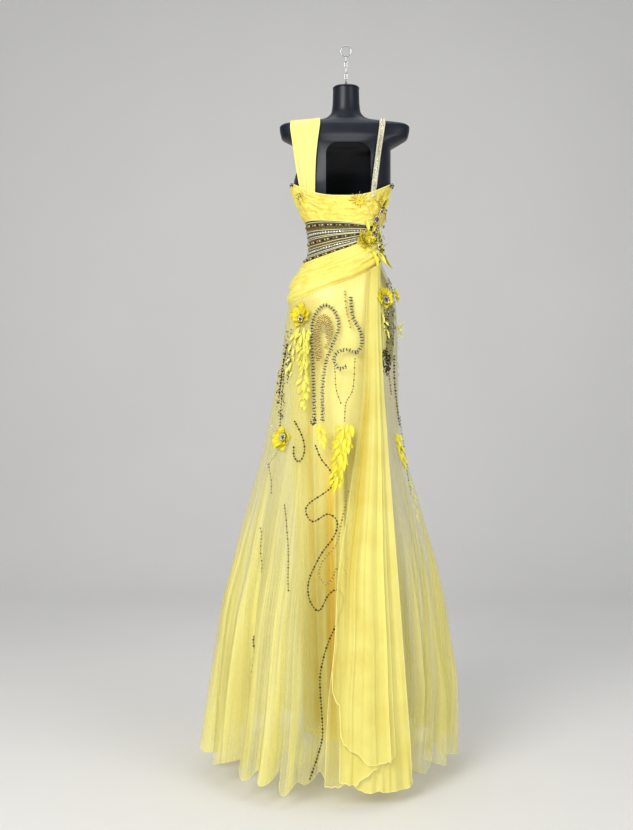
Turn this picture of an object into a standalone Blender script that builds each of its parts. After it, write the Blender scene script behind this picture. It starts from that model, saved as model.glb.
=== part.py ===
"""Prom dress on a hollow-backed torso form that hangs from a chain.

Metres, +Z up. The origin is where the top ring of the chain is held. The back of the dress faces -Y.
Heights in the tables are measured up from the level of the hem. Angles run round the body:
0 is the side at +X, 90 the front at +Y, 180 the side at -X and 270 the back at -Y.
"""

import math

import bmesh
import bpy
import numpy as np

# Driving dimensions
HANG_HEIGHT = 1.900  # the held point above the hem
FORM_WALL = 0.004
FORM_CLEAR = 0.0018  # the form is this much smaller than the body that the cloth is cut for
SATIN_WALL = 0.0015
NET_WALL = 0.0011
CHIFFON_WALL = 0.0015
SEAM = 0.0003
NECK_TOP = 1.784

# How far the inside of each layer lies off the body
LINING_OFF = 0.0005
UNDER_NET_OFF = 0.0036
NET_OFF = 0.0054
BODICE_OFF = 0.0012
SASH_LOW_OFF = 0.0102
SASH_HIGH_OFF = 0.0032

# The body. Columns: height, left x, right x, back y, front y, squareness of the section
BODY = (
    (1.050, -0.146, 0.128, -0.108, 0.098, 2.3),
    (1.120, -0.151, 0.131, -0.114, 0.102, 2.3),
    (1.190, -0.148, 0.130, -0.113, 0.102, 2.3),
    (1.250, -0.138, 0.117, -0.104, 0.098, 2.3),
    (1.310, -0.113, 0.092, -0.086, 0.088, 2.3),
    (1.351, -0.098, 0.082, -0.076, 0.080, 2.2),
    (1.400, -0.102, 0.090, -0.077, 0.086, 2.2),
    (1.432, -0.109, 0.097, -0.080, 0.098, 2.2),
    (1.470, -0.125, 0.105, -0.086, 0.116, 2.2),
    (1.500, -0.137, 0.113, -0.090, 0.122, 2.3),
    (1.527, -0.143, 0.122, -0.092, 0.116, 2.4),
    (1.580, -0.130, 0.122, -0.092, 0.094, 2.4),
    (1.620, -0.128, 0.122, -0.086, 0.080, 2.4),
    (1.637, -0.150, 0.146, -0.076, 0.074, 2.4),
    (1.652, -0.176, 0.168, -0.066, 0.066, 2.6),
    (1.680, -0.181, 0.173, -0.056, 0.056, 2.8),
    (1.687, -0.174, 0.166, -0.052, 0.052, 2.8),
    (1.692, -0.128, 0.124, -0.049, 0.048, 2.6),
    (1.698, -0.078, 0.078, -0.046, 0.045, 2.3),
    (1.708, -0.053, 0.053, -0.044, 0.042, 2.1),
    (1.724, -0.041, 0.041, -0.040, 0.038, 2.0),
    (1.750, -0.038, 0.038, -0.038, 0.036, 2.0),
    (NECK_TOP, -0.037, 0.037, -0.037, 0.035, 2.0),
)
# The ridges of the outer net skirt, with the same columns, below the hips
NET_SKIRT = (
    (0.000, -0.389, 0.288, -0.357, 0.335, 2.0),
    (0.100, -0.375, 0.292, -0.342, 0.325, 2.0),
    (0.200, -0.360, 0.288, -0.325, 0.310, 2.0),
    (0.300, -0.344, 0.272, -0.305, 0.295, 2.0),
    (0.400, -0.327, 0.257, -0.280, 0.275, 2.0),
    (0.500, -0.302, 0.238, -0.255, 0.250, 2.0),
    (0.600, -0.277, 0.212, -0.225, 0.220, 2.05),
    (0.700, -0.248, 0.183, -0.195, 0.185, 2.1),
    (0.810, -0.217, 0.150, -0.163, 0.150, 2.2),
    (0.900, -0.200, 0.138, -0.147, 0.132, 2.25),
    (1.000, -0.181, 0.134, -0.134, 0.119, 2.3),
    (1.080, -0.165, 0.133, -0.124, 0.110, 2.3),
    (1.135, -0.159, 0.132, -0.118, 0.106, 2.3),
    (1.200, -0.149, 0.128, -0.112, 0.102, 2.3),
)
LINING_SKIRT = (
    (0.065, -0.114, 0.100, -0.150, 0.115, 2.1),
    (0.400, -0.128, 0.106, -0.138, 0.112, 2.15),
    (0.700, -0.142, 0.118, -0.126, 0.108, 2.2),
    (0.900, -0.149, 0.127, -0.119, 0.105, 2.3),
    (1.000, -0.150, 0.130, -0.115, 0.103, 2.3),
    (1.110, -0.150, 0.129, -0.113, 0.102, 2.3),
)
# Flutes of the outer net. Columns: angle of a ridge, then of the valley after it the depth at the
# hem and the height where it starts
NET_FLUTES = (
    (190, 0.050, 0.80), (207, 0.068, 0.90), (232, 0.026, 0.72), (241, 0.030, 0.80),
    (250, 0.022, 0.64), (258, 0.030, 0.76), (268, 0.022, 0.60), (279, 0.018, 0.55),
    (290, 0.018, 0.55), (301, 0.024, 0.62), (309, 0.030, 0.74), (319, 0.045, 0.84),
    (333, 0.045, 0.78), (350, 0.050, 0.86), (371, 0.055, 0.82), (396, 0.060, 0.90),
    (421, 0.055, 0.80), (447, 0.060, 0.88), (472, 0.055, 0.78), (497, 0.062, 0.90),
    (518, 0.050, 0.84), (535, 0.040, 0.76),
)
UNDER_FLUTES = tuple((197 + 30 * k, 0.036 + 0.004 * (k % 2), 1.0) for k in range(12))
LINING_FLUTES = (
    (42, 0.010, 1.02), (66, 0.012, 1.02), (92, 0.012, 1.02), (118, 0.012, 1.02),
    (146, 0.014, 1.02), (172, 0.014, 1.02), (198, 0.012, 1.02), (222, 0.016, 1.02),
    (243, 0.014, 1.02), (262, 0.016, 1.02), (284, 0.014, 1.02), (308, 0.010, 1.02),
)
# Columns: name, first flute, flute after the last
NET_PANELS = (
    ("net_back_left", 0, 6), ("net_back_right", 6, 12),
    ("net_front_right", 12, 17), ("net_front_left", 17, 22),
)
UNDER_PANELS = (("net_under_back", 0, 6), ("net_under_front", 6, 12))
UNDER_NET_TOP = 1.0  # the under net stands clear of the outer net's valleys from here down
UNDER_NET_INSIDE = 0.078
UNDER_NET_HEM = 0.020
LINING_HEM = 0.065
LINING_SPAN = (42.0, 312.0)  # the satin stops at these angles and leaves the side at +X sheer
LINING_COLUMNS = 28  # a column every 10 degrees, in line with those of the under net
HIP_HEIGHT = 1.20  # the skirts' rows slant with the waist seam above this
TRAIN_ANGLE = 286
TRAIN_HOLLOW = 0.026  # how far the nets are pressed in under the train at the hem
TRAIN_HOLLOW_TOP = 0.88
TRAIN_HOLLOW_REACH = 32  # degrees to either side
TRAIN_HOLLOW_FADE = 12

# Rows of the skirts' walls, from the hem up to the hips
NET_HEIGHTS = (0.0, 0.18, 0.38, 0.58, 0.76, 0.91, 1.06, HIP_HEIGHT)
UNDER_HEIGHTS = (UNDER_NET_HEM, 0.38, 0.76, 0.91, 1.06, HIP_HEIGHT)
LINING_HEIGHTS = (LINING_HEM, 0.40, 0.76, 1.06, HIP_HEIGHT)
SLANT_SHARES = (0.36, 0.70, 1.0)

# Chiffon train. Columns: height, x of its left edge, x of its right edge, both on the back
TRAIN = (
    (0.000, -0.061, 0.156),
    (0.200, -0.052, 0.140),
    (0.350, -0.036, 0.128),
    (0.500, -0.028, 0.116),
    (0.660, -0.006, 0.104),
    (0.840, 0.017, 0.092),
    (1.000, 0.034, 0.083),
    (1.190, 0.043, 0.080),
    (1.310, 0.050, 0.082),
)
# Columns: share of the train's width, how far the fold stands out there
TRAIN_FOLDS = (
    (0.00, 0.9), (0.05, 0.2), (0.10, 0.0), (0.16, 0.5), (0.22, 0.9), (0.28, 0.5), (0.34, 0.1),
    (0.42, 0.5), (0.49, 1.0), (0.56, 0.6), (0.63, 0.1), (0.68, 0.3), (0.72, 0.8), (0.80, 0.5),
    (0.88, 0.0), (0.94, 0.6), (1.00, 1.0),
)
TRAIN_FOLD_DEPTH = 0.014
TRAIN_OFF_TOP = 0.0100
TRAIN_OFF_LOW = 0.0150
TRAIN_OFF_REACH = 0.35  # the height over which the train leaves the body
TRAIN_PLY_TOP = 0.0024  # from one layer to the next
TRAIN_PLY_OPENS = 0.0045
TRAIN_OPEN_TOP = 1.25
TRAIN_OPEN_REACH = 1.1
TRAIN_SINKS = 0.022  # the train follows the hollow that it presses in the nets
TRAIN_HEIGHTS = (0.38, 0.58, 0.76, 0.91, 1.06, HIP_HEIGHT)
TRAIN_LOW_ROWS = 3
# Columns: name, order out from the skirt, first and last of the columns of folds that it spans
TRAIN_LAYERS = (
    ("train_under", 0, 0, 16),
    ("train_middle", 1, 3, 13),
    ("train_over", 2, 0, 12),
)
# Columns: share of the train's width, height of the hem there
TRAIN_HEMS = {
    "train_under": ((0.0, 0.022), (0.16, 0.018), (0.22, 0.036), (0.45, 0.006), (0.9, 0.0), (1.0, 0.006)),
    "train_middle": ((0.16, 0.036), (0.34, 0.026), (0.49, 0.052), (0.72, 0.074), (0.80, 0.085)),
    "train_over": ((0.0, 0.294), (0.05, 0.262), (0.16, 0.160), (0.22, 0.138), (0.42, 0.100), (0.72, 0.092)),
}

# Straps. Columns: height, left x, right x, going up the back and then going up the front
WIDE_STRAP = (
    ((1.500, -0.121, -0.084), (1.541, -0.134, -0.083), (1.581, -0.145, -0.081),
     (1.623, -0.152, -0.077), (1.677, -0.150, -0.070)),
    ((1.530, -0.104, -0.056), (1.600, -0.128, -0.062), (1.677, -0.150, -0.070)),
)
BEAD_STRAP = (
    ((1.500, 0.064, 0.077), (1.600, 0.077, 0.090), (1.677, 0.088, 0.102)),
    ((1.530, 0.062, 0.076), (1.600, 0.074, 0.088), (1.677, 0.088, 0.102)),
)
STRAP_HIGHEST = 1.72  # the shoulders are looked for up to here
STRAP_LEVELS = 110
STRAP_WALL = 0.0018
STRAP_CLEAR = 0.0020
STRAP_ROWS = 28
BEND_WEIGHT = 0.12  # metres of strap that a radian of bend counts as when its rows are shared out
BEND_REACH = 9  # millimetres of strap that share one bend

# Rows and columns of the form
FORM_HEIGHTS = (
    1.05, 1.12, 1.20, 1.25, 1.29, 1.325, 1.355, 1.39, 1.425, 1.46, 1.495, 1.53, 1.58,
    1.62, 1.637, 1.652, 1.680, 1.687, 1.692, 1.698, 1.708, 1.724, NECK_TOP,
)
FORM_BODY_ROWS = 14  # below the shoulders the inside has only every second one of these
FORM_COLUMNS = 22

# Opening in the back of the form
ARCH_HALF = 0.059
ARCH_TOP = 1.622
ARCH_CORNER = 0.030
ARCH_CENTRE = 0.004
ARCH_DEPTH = (-0.20, -0.030)
ARCH_FOOT = 1.0
ARCH_STEPS = 5  # of each rounded corner

RING_RADIUS = 0.014
RING_WIRE = 0.0020
LINK_HEIGHT = 0.0186
LINK_WIDTH = 0.0092
LINK_WIRE = 0.0013
LINK_COUNT = 4
EYE_RADIUS = 0.006
EYE_WIRE = 0.0015
CAP_TOP = 1.7903
CAP_RADIUS = 0.0360
CAP_EDGE = 0.0020
CAP_POST = 0.0035

BAND_GATHERS = 5
BAND_GATHER_DEPTH = 0.0030
BAND_SLANT = 0.10
WAIST_RIBS = 8
WAIST_RIB_DEPTH = 0.0022
SASH_FOLDS = 4
SASH_PUFF = 0.0025
SASH_FOLD_DEPTH = 0.0035
SASH_SHIFT = 0.12
BODICE_COLUMNS = 14

# Edges that go round the body, as (height, how much higher at +X, how much lower at front and back)
SASH_TOP = (1.353, 0.042, 0.012)
SASH_BOTTOM = (1.265, 0.060, 0.011)
BAND_BOTTOM = (1.414, -0.010, 0.0)
# The neckline's height at the middle, its rise at the sides, and in front its rise at the middle and
# over each cup
NECKLINE = 1.480
NECKLINE_SIDES = 0.046
NECKLINE_FRONT = 0.020
NECKLINE_CUPS = 0.036
# Each cup: how far it stands out, where across (a cosine), its half width there, its height, its
# half height
CUP_DEPTH = 0.014
CUP_ACROSS = 0.50
CUP_SPREAD = 0.32
CUP_HEIGHT = 1.482
CUP_RISE = 0.036

# Sewn-on flowers. Columns: name, carried by, x, height, radius, petals, how far off the body
FLOWERS = (
    ("flower_waist", "bodice", 0.074, 1.400, 0.015, 6, 0.0049),
    ("flower_hip_right", "net", 0.090, 1.212, 0.024, 5, 0.0158),
    ("flower_side_right", "net", 0.122, 1.226, 0.013, 5, 0.0073),
    ("flower_hip_left", "net", -0.112, 1.165, 0.028, 5, 0.0073),
    ("flower_knee_left", "net", -0.158, 0.845, 0.030, 5, 0.0073),
)
# Leaf sprays. Columns: name, carried by, x, height of the root, way across and down to the tip,
# half width, pairs of leaves, how far off the body
SPRAYS = (
    ("spray_hip_left", "net", -0.100, 1.110, 0.008, 0.130, 0.016, 4, 0.0073),
    ("spray_knee_centre", "net", -0.010, 0.850, -0.022, 0.140, 0.016, 4, 0.0063),
    ("spray_knee_right", "net", 0.118, 0.848, 0.022, 0.100, 0.012, 3, 0.0073),
    ("leaf_knot_upper", "bodice", 0.066, 1.374, 0.010, 0.048, 0.008, 1, 0.0173),
    ("leaf_knot_lower", "bodice", 0.066, 1.318, 0.024, 0.046, 0.009, 1, 0.0156),
)
PETAL_WALL = 0.0016
LEAF_RIDGE = 0.0010
LEAF_TIP = 0.0015
FLOWER_DOME = 0.0085
# Rings of a flower from its dome round to its underside. Columns: share of its radius, rise, how far
# the ring follows the petals
FLOWER_RINGS = (
    (0.30, 0.0060, 0.0), (0.45, 0.0026, 0.2), (1.0, 0.0070, 1.0), (1.0, 0.0, 1.0), (0.5, 0.0, 0.5),
)
FLOWER_NOTCH = 0.30

COLOURS = {
    "form": ((0.012, 0.018, 0.028), 0.35, 0.0),
    "steel": ((0.62, 0.62, 0.64), 0.25, 1.0),
    "chiffon": ((0.93, 0.80, 0.22), 0.60, 0.0),
    "satin": ((0.94, 0.87, 0.45), 0.35, 0.0),
    "net": ((0.86, 0.82, 0.45), 0.80, 0.0),
    "beaded_net": ((0.45, 0.40, 0.24), 0.50, 0.0),
    "beads": ((0.85, 0.84, 0.78), 0.25, 0.3),
    "petals": ((0.90, 0.78, 0.10), 0.50, 0.0),
}


def smoothstep(t):
    t = min(max(t, 0.0), 1.0)
    return t * t * (3.0 - 2.0 * t)


def wave(turns):
    """0 at a whole turn and 1 halfway to the next."""
    return 0.5 - 0.5 * math.cos(2 * math.pi * turns)


def read_row(rows, height):
    """The columns of a table at a height, eased between its rows so that no column overshoots."""
    table = np.array(rows, float)
    at, values = table[:, 0], table[:, 1:]
    height = min(max(height, at[0]), at[-1])
    slopes = np.diff(values, axis=0) / np.diff(at)[:, None]
    tangents = np.zeros_like(values)
    tangents[0], tangents[-1] = slopes[0], slopes[-1]
    product, total = slopes[:-1] * slopes[1:], slopes[:-1] + slopes[1:]
    same_way = product > 1e-12
    tangents[1:-1] = np.where(same_way, 2 * product / np.where(same_way, total, 1.0), 0.0)
    i = min(int(np.searchsorted(at, height, side="right")) - 1, len(at) - 2)
    step = at[i + 1] - at[i]
    t = (height - at[i]) / step
    return (
        (2 * t**3 - 3 * t**2 + 1) * values[i]
        + (t**3 - 2 * t**2 + t) * step * tangents[i]
        + (3 * t**2 - 2 * t**3) * values[i + 1]
        + (t**3 - t**2) * step * tangents[i + 1]
    )


NET_TABLE = NET_SKIRT + tuple(row for row in BODY if row[0] > HIP_HEIGHT)
LINING_TABLE = LINING_SKIRT + tuple(row for row in NET_TABLE if row[0] >= HIP_HEIGHT)


def section_point(table, angle, height, off):
    """A point on a section of the table, moved out by off."""
    left, right, back, front, square = read_row(table, height)
    turn = math.radians(angle)
    c, s = math.cos(turn), math.sin(turn)
    across = math.copysign(abs(c) ** (2 / square), c)
    along = math.copysign(abs(s) ** (2 / square), s)
    middle, half = (left + right) / 2, (right - left) / 2
    depth = front + off if s > 0 else -back + off
    return np.array([middle + (half + off) * across, depth * along, height - HANG_HEIGHT])


def angle_at(table, x, height, on_back=True):
    """The angle at which a section reaches x."""
    left, right, _, _, square = read_row(table, height)
    share = (x - (left + right) / 2) / ((right - left) / 2)
    share = min(max(share, -0.995), 0.995)
    turn = math.degrees(math.acos(math.copysign(abs(share) ** (square / 2), share)))
    return 360 - turn if on_back else turn


def flute_dip(flutes, angle, height):
    """How far a fluted skirt lies inside its ridges at an angle and a height."""
    first = flutes[0][0]
    angle = (angle - first) % 360 + first
    ends = [ridge for ridge, _, _ in flutes[1:]] + [first + 360]
    for (ridge, depth, start), end in zip(flutes, ends):
        if angle <= end:
            return depth * wave((angle - ridge) / (end - ridge)) * smoothstep((start - height) / start)
    return 0.0


def flute_angles(flutes, first, last, steps):
    """Angles from the valley before one ridge to the valley before another, a few for each flute."""
    count = len(flutes)
    ridges = [flutes[k % count][0] + 360 * (k // count) for k in range(-1, count + 1)]
    phases = np.linspace(first + 0.5, last + 0.5, (last - first) * steps + 1)
    return [float(np.interp(phase, range(count + 2), ridges)) for phase in phases]


def train_hollow(angle, height):
    """How far the nets are pressed in under the train."""
    apart = abs((angle - TRAIN_ANGLE + 180) % 360 - 180)
    side_fade = smoothstep((TRAIN_HOLLOW_REACH - apart) / TRAIN_HOLLOW_FADE)
    return TRAIN_HOLLOW * side_fade * smoothstep((TRAIN_HOLLOW_TOP - height) / TRAIN_HOLLOW_TOP)


def net_point(angle, height):
    dip = flute_dip(NET_FLUTES, angle, height) + train_hollow(angle, height)
    return section_point(NET_TABLE, angle, height, NET_OFF + NET_WALL - dip)


def under_net_point(angle, height):
    dip = flute_dip(UNDER_FLUTES, angle, height) + train_hollow(angle, height)
    dip += UNDER_NET_INSIDE * smoothstep((UNDER_NET_TOP - height) / UNDER_NET_TOP)
    return section_point(NET_TABLE, angle, height, UNDER_NET_OFF + NET_WALL - dip)


def lining_point(angle, height):
    dip = flute_dip(LINING_FLUTES, angle, height)
    return section_point(LINING_TABLE, angle, height, LINING_OFF + SATIN_WALL - dip)


def edge_height(edge, angle):
    level, tilt, dip = edge
    turn = math.radians(angle)
    return level + tilt * math.cos(turn) - dip * abs(math.sin(turn))


def sash_top(angle):
    return edge_height(SASH_TOP, angle)


def sash_bottom(angle):
    return edge_height(SASH_BOTTOM, angle)


def waist_seam(angle):
    """The seam that the sash hides: the bodice above it, the skirts below."""
    return 0.5 * (sash_top(angle) + sash_bottom(angle))


def band_top(angle):
    """The neckline: low across the back, higher at the sides and over the cups in front."""
    turn = math.radians(angle)
    c, s = math.cos(turn), math.sin(turn)
    height = NECKLINE + NECKLINE_SIDES * abs(c) ** 2.5
    if s > 0:
        cups = math.exp(-(((abs(c) - CUP_ACROSS) / CUP_SPREAD) ** 2))
        height += s * (NECKLINE_FRONT + NECKLINE_CUPS * cups)
    return height


def band_edge(angle):
    """The neckline as built, straight between the columns of the band."""
    columns = np.linspace(0, 360, 2 * BODICE_COLUMNS + 1)
    return float(np.interp(angle % 360, columns, [band_top(a) for a in columns]))


def band_bottom(angle):
    return edge_height(BAND_BOTTOM, angle)


def cup(angle, height):
    """How far the front of the band stands out over each cup."""
    s, c = math.sin(math.radians(angle)), math.cos(math.radians(angle))
    if s <= 0:
        return 0.0
    side = math.exp(-(((abs(c) - CUP_ACROSS) / CUP_SPREAD) ** 2))
    rise = math.exp(-(((height - CUP_HEIGHT) / CUP_RISE) ** 2))
    return CUP_DEPTH * side * rise * s


def band_point(angle, share, off):
    """The bust band, from its lower edge at 0 to its upper edge at 1."""
    height = band_bottom(angle) + (band_top(angle) - band_bottom(angle)) * share
    return section_point(BODY, angle, height, BODICE_OFF + off + cup(angle, height))


def band_gathers(angle, share):
    """Gathers that run round the band and die out at its edges."""
    slant = BAND_SLANT * math.sin(math.radians(2 * angle))
    fade = math.sin(math.pi * share) ** 0.5
    return BAND_GATHER_DEPTH * wave(BAND_GATHERS * share + slant) * fade


def waist_point(angle, share, off):
    low, high = waist_seam(angle) + 2 * SEAM, band_bottom(angle) - SEAM
    return section_point(BODY, angle, low + (high - low) * share, BODICE_OFF + off)


def waist_share(angle, row):
    """The share of the waist's height of a row: one row under the sash, then two for each rib."""
    low, high = waist_seam(angle), band_bottom(angle)
    hidden = (sash_top(angle) - low) / (high - low)
    return hidden * row / 2 if row < 2 else hidden + (1 - hidden) * (row - 2) / (2 * WAIST_RIBS)


def sash_point(angle, share, off):
    height = sash_bottom(angle) + (sash_top(angle) - sash_bottom(angle)) * share
    tuck = smoothstep((share - 0.5) / 0.5)
    lie = SASH_LOW_OFF + (SASH_HIGH_OFF - SASH_LOW_OFF) * tuck
    return section_point(NET_TABLE, angle, height, lie + off)


def sash_folds(angle, share):
    """Soft folds along the sash that shift a little as they go round."""
    fade = math.sin(math.pi * share) ** 0.6
    shift = SASH_SHIFT * math.sin(math.radians(angle))
    return fade * (SASH_PUFF + SASH_FOLD_DEPTH * wave(SASH_FOLDS * share + shift))


def material(name):
    colour, rough, metal = COLOURS[name]
    made = bpy.data.materials.get(name) or bpy.data.materials.new(name)
    made.use_nodes = True
    shader = made.node_tree.nodes["Principled BSDF"]
    shader.inputs["Base Color"].default_value = (*colour, 1.0)
    shader.inputs["Roughness"].default_value = rough
    shader.inputs["Metallic"].default_value = metal
    return made


def add_object(name, points, faces, material_name, sharp_angle=50):
    mesh = bpy.data.meshes.new(name)
    mesh.from_pydata([tuple(p) for p in points], [], faces)
    shape = bmesh.new()
    shape.from_mesh(mesh)
    bmesh.ops.recalc_face_normals(shape, faces=shape.faces)
    shape.to_mesh(mesh)
    shape.free()
    mesh.shade_smooth()
    mesh.set_sharp_from_angle(angle=math.radians(sharp_angle))
    mesh.materials.append(material(material_name))
    made = bpy.data.objects.new(name, mesh)
    bpy.context.scene.collection.objects.link(made)
    return made


def inside(outer, thickness, closed=False):
    """A grid of outer points moved in along its normals. Columns go round, rows go up."""
    outer = np.array(outer)
    if closed:
        along = np.roll(outer, -1, axis=1) - np.roll(outer, 1, axis=1)
    else:
        along = np.gradient(outer, axis=1)
    normal = np.cross(along, np.gradient(outer, axis=0))
    return outer - normal / np.linalg.norm(normal, axis=2, keepdims=True) * thickness


def wall(name, outer, inner, material_name, closed=False):
    """A closed solid between two grids of points. The inner grid may have fewer rows."""
    outer, inner = np.array(outer), np.array(inner)
    columns = outer.shape[1]
    spans = columns if closed else columns - 1
    steps = (outer.shape[0] - 1, inner.shape[0] - 1)
    stride = steps[0] // steps[1]
    inner_start = outer.shape[0] * columns

    def at(side, row, column):
        return side * inner_start + row * columns + column % columns

    faces = []
    for side in (0, 1):
        for r in range(steps[side]):
            for c in range(spans):
                n, q = r + 1, c + 1
                faces.append((at(side, r, c), at(side, r, q), at(side, n, q), at(side, n, c)))
    for c in range(spans):
        for end in (0, 1):
            r, q = end * steps[0], end * steps[1]
            faces.append((at(0, r, c), at(0, r, c + 1), at(1, q, c + 1), at(1, q, c)))
    if not closed:
        for c in (0, columns - 1):
            for q in range(steps[1]):
                side_edge = [at(0, q * stride + k, c) for k in range(stride + 1)]
                faces.append((*side_edge, at(1, q + 1, c), at(1, q, c)))
    points = np.concatenate([outer.reshape(-1, 3), inner.reshape(-1, 3)])
    return add_object(name, points, faces, material_name)


def seamed(angles, radius=0.12):
    """The same angles with half a seam's gap taken off either end."""
    trim = math.degrees(SEAM / 2 / radius)
    return [angles[0] + trim, *angles[1:-1], angles[-1] - trim]


def skirt_grid(surface, angles, heights):
    """Points of a skirt: level rows up to the hips, then rows that slant up to the waist seam."""
    rows = [[surface(a, h) for a in angles] for h in heights]
    for share in SLANT_SHARES:
        rows.append([surface(a, heights[-1] + (waist_seam(a) - heights[-1]) * share) for a in angles])
    return rows


def make_form():
    angles = np.linspace(0, 360, FORM_COLUMNS + 1)[:-1]
    outer = np.array([[section_point(BODY, a, h, -FORM_CLEAR) for a in angles] for h in FORM_HEIGHTS])
    inner = inside(outer, FORM_WALL, closed=True)
    for end in (0, -1):
        inner[end, :, 2] = outer[end, :, 2]
    kept = [*range(0, FORM_BODY_ROWS, 2), *range(FORM_BODY_ROWS, len(FORM_HEIGHTS))]
    inner = inner[kept]
    shell = wall("torso_form", outer, inner, "form", closed=True)
    cut = shell.modifiers.new("hollow_back", "BOOLEAN")
    cut.operation = "DIFFERENCE"
    cut.solver = "EXACT"
    cut.object = make_arch_cutter()


def make_arch_cutter():
    """A slot with rounded upper corners, through the back wall only."""
    top, low = ARCH_TOP - HANG_HEIGHT - ARCH_CORNER, ARCH_FOOT - HANG_HEIGHT
    outline = [(-ARCH_HALF, low), (ARCH_HALF, low)]
    for side in (1, -1):
        for step in range(ARCH_STEPS + 1):
            turn = math.radians(90 * step / ARCH_STEPS + (0 if side > 0 else 90))
            bend = side * (ARCH_HALF - ARCH_CORNER)
            outline.append((bend + ARCH_CORNER * math.cos(turn), top + ARCH_CORNER * math.sin(turn)))
    points = [(ARCH_CENTRE + x, y, z) for y in ARCH_DEPTH for x, z in outline]
    count = len(outline)
    faces = [tuple(range(count)), tuple(range(count, 2 * count))]
    for i in range(count):
        j = (i + 1) % count
        faces.append((i, j, count + j, count + i))
    cutter = add_object("arch_cutter", points, faces, "form")
    cutter.hide_render = True
    cutter.display_type = "WIRE"
    return cutter


def turned(name, profile, steps, material_name):
    """A solid turned about the Z axis from (radius, z) points that start and end on the axis."""
    points = [(0.0, 0.0, profile[0][1])]
    for radius, z in profile[1:-1]:
        for k in range(steps):
            turn = 2 * math.pi * k / steps
            points.append((radius * math.cos(turn), radius * math.sin(turn), z))
    points.append((0.0, 0.0, profile[-1][1]))
    faces = []
    rings = len(profile) - 2
    for k in range(steps):
        n = (k + 1) % steps
        faces.append((0, 1 + k, 1 + n))
        for r in range(rings - 1):
            a, b = 1 + r * steps, 1 + (r + 1) * steps
            faces.append((a + k, b + k, b + n, a + n))
        top = 1 + (rings - 1) * steps
        faces.append((len(points) - 1, top + n, top + k))
    return add_object(name, points, faces, material_name, 30)


def loop_tube(name, path, radius, across, sides=6):
    """A closed ring of round wire along a flat path; across is the normal of its plane."""
    count = len(path)
    points = []
    for i in range(count):
        along = path[(i + 1) % count] - path[i - 1]
        out = np.cross(along / np.linalg.norm(along), across)
        for k in range(sides):
            turn = 2 * math.pi * k / sides
            points.append(path[i] + radius * (math.cos(turn) * out + math.sin(turn) * across))
    faces = []
    for i in range(count):
        for k in range(sides):
            j, n = (i + 1) % count, (k + 1) % sides
            faces.append((i * sides + k, i * sides + n, j * sides + n, j * sides + k))
    return add_object(name, points, faces, "steel", 80)


def ring_path(radius, middle_z, steps, along):
    turns = [2 * math.pi * k / steps for k in range(steps)]
    return [along * radius * math.sin(t) + np.array([0, 0, middle_z + radius * math.cos(t)]) for t in turns]


def link_path(middle_z, along, steps=5):
    """The centre line of a chain link: two half circles joined by straight sides."""
    bend = (LINK_WIDTH - 2 * LINK_WIRE) / 2
    straight = LINK_HEIGHT / 2 - bend
    path = []
    for end in (1, -1):
        for k in range(steps + 1):
            turn = math.pi * k / steps
            z = middle_z + end * (straight + bend * math.sin(turn))
            path.append(along * bend * math.cos(turn) * end + np.array([0, 0, z]))
    return path


def make_chain():
    """The held ring, the links below it, and the eye on the cap of the neck."""
    x_way, y_way = np.array([1.0, 0, 0]), np.array([0, 1.0, 0])
    ring_middle = RING_WIRE - RING_RADIUS
    loop_tube("top_ring", ring_path(RING_RADIUS, ring_middle, 18, x_way), RING_WIRE, y_way)
    top = ring_middle - RING_RADIUS + RING_WIRE + LINK_WIRE + SEAM
    for k in range(LINK_COUNT):
        along, across = (y_way, x_way) if k % 2 == 0 else (x_way, y_way)
        loop_tube(f"chain_link_{k + 1}", link_path(top - LINK_HEIGHT / 2, along), LINK_WIRE, across)
        bottom = top - LINK_HEIGHT
        top = bottom + 2 * LINK_WIRE + SEAM
    along, across = (y_way, x_way) if LINK_COUNT % 2 == 0 else (x_way, y_way)
    eye_middle = bottom + LINK_WIRE + EYE_WIRE + SEAM - EYE_RADIUS
    loop_tube("chain_eye", ring_path(EYE_RADIUS, eye_middle, 12, along), EYE_WIRE, across)
    post_top = eye_middle - EYE_RADIUS - EYE_WIRE - SEAM
    cap_top, neck = CAP_TOP - HANG_HEIGHT, NECK_TOP + SEAM - HANG_HEIGHT
    profile = (
        (0, neck), (CAP_RADIUS - CAP_EDGE, neck), (CAP_RADIUS, neck + CAP_EDGE),
        (CAP_RADIUS - CAP_EDGE, cap_top), (CAP_POST, cap_top), (0.8 * CAP_POST, post_top), (0, post_top),
    )
    turned("neck_cap", profile, 16, "form")


def make_bodice():
    """Bust band, sheer waist and hip sash, each a back and a front panel that meet at the sides."""
    for side, start in (("back", 180.0), ("front", 0.0)):
        angles = seamed(list(np.linspace(start, start + 180, BODICE_COLUMNS + 1)))
        rows = 2 * BAND_GATHERS
        outer = [
            [band_point(a, r / rows, CHIFFON_WALL + band_gathers(a, r / rows)) for a in angles]
            for r in range(rows + 1)
        ]
        inner = [[band_point(a, r / rows, 0.0) for a in angles] for r in range(0, rows + 1, 2)]
        wall(f"bust_band_{side}", outer, inner, "chiffon")

        rows = 2 + 2 * WAIST_RIBS
        outer = []
        for r in range(rows + 1):
            rib = WAIST_RIB_DEPTH * (r % 2) if 2 < r < rows else 0.0
            outer.append([waist_point(a, waist_share(a, r), NET_WALL + rib) for a in angles])
        inner = [[waist_point(a, waist_share(a, r), 0.0) for a in angles] for r in range(0, rows + 1, 3)]
        wall(f"waist_{side}", outer, inner, "beaded_net")

        rows = 2 * SASH_FOLDS
        outer = [
            [sash_point(a, r / rows, CHIFFON_WALL + sash_folds(a, r / rows)) for a in angles]
            for r in range(rows + 1)
        ]
        inner = [[sash_point(a, r / rows, 0.0) for a in angles] for r in range(0, rows + 1, 2)]
        wall(f"hip_sash_{side}", outer, inner, "chiffon")


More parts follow.
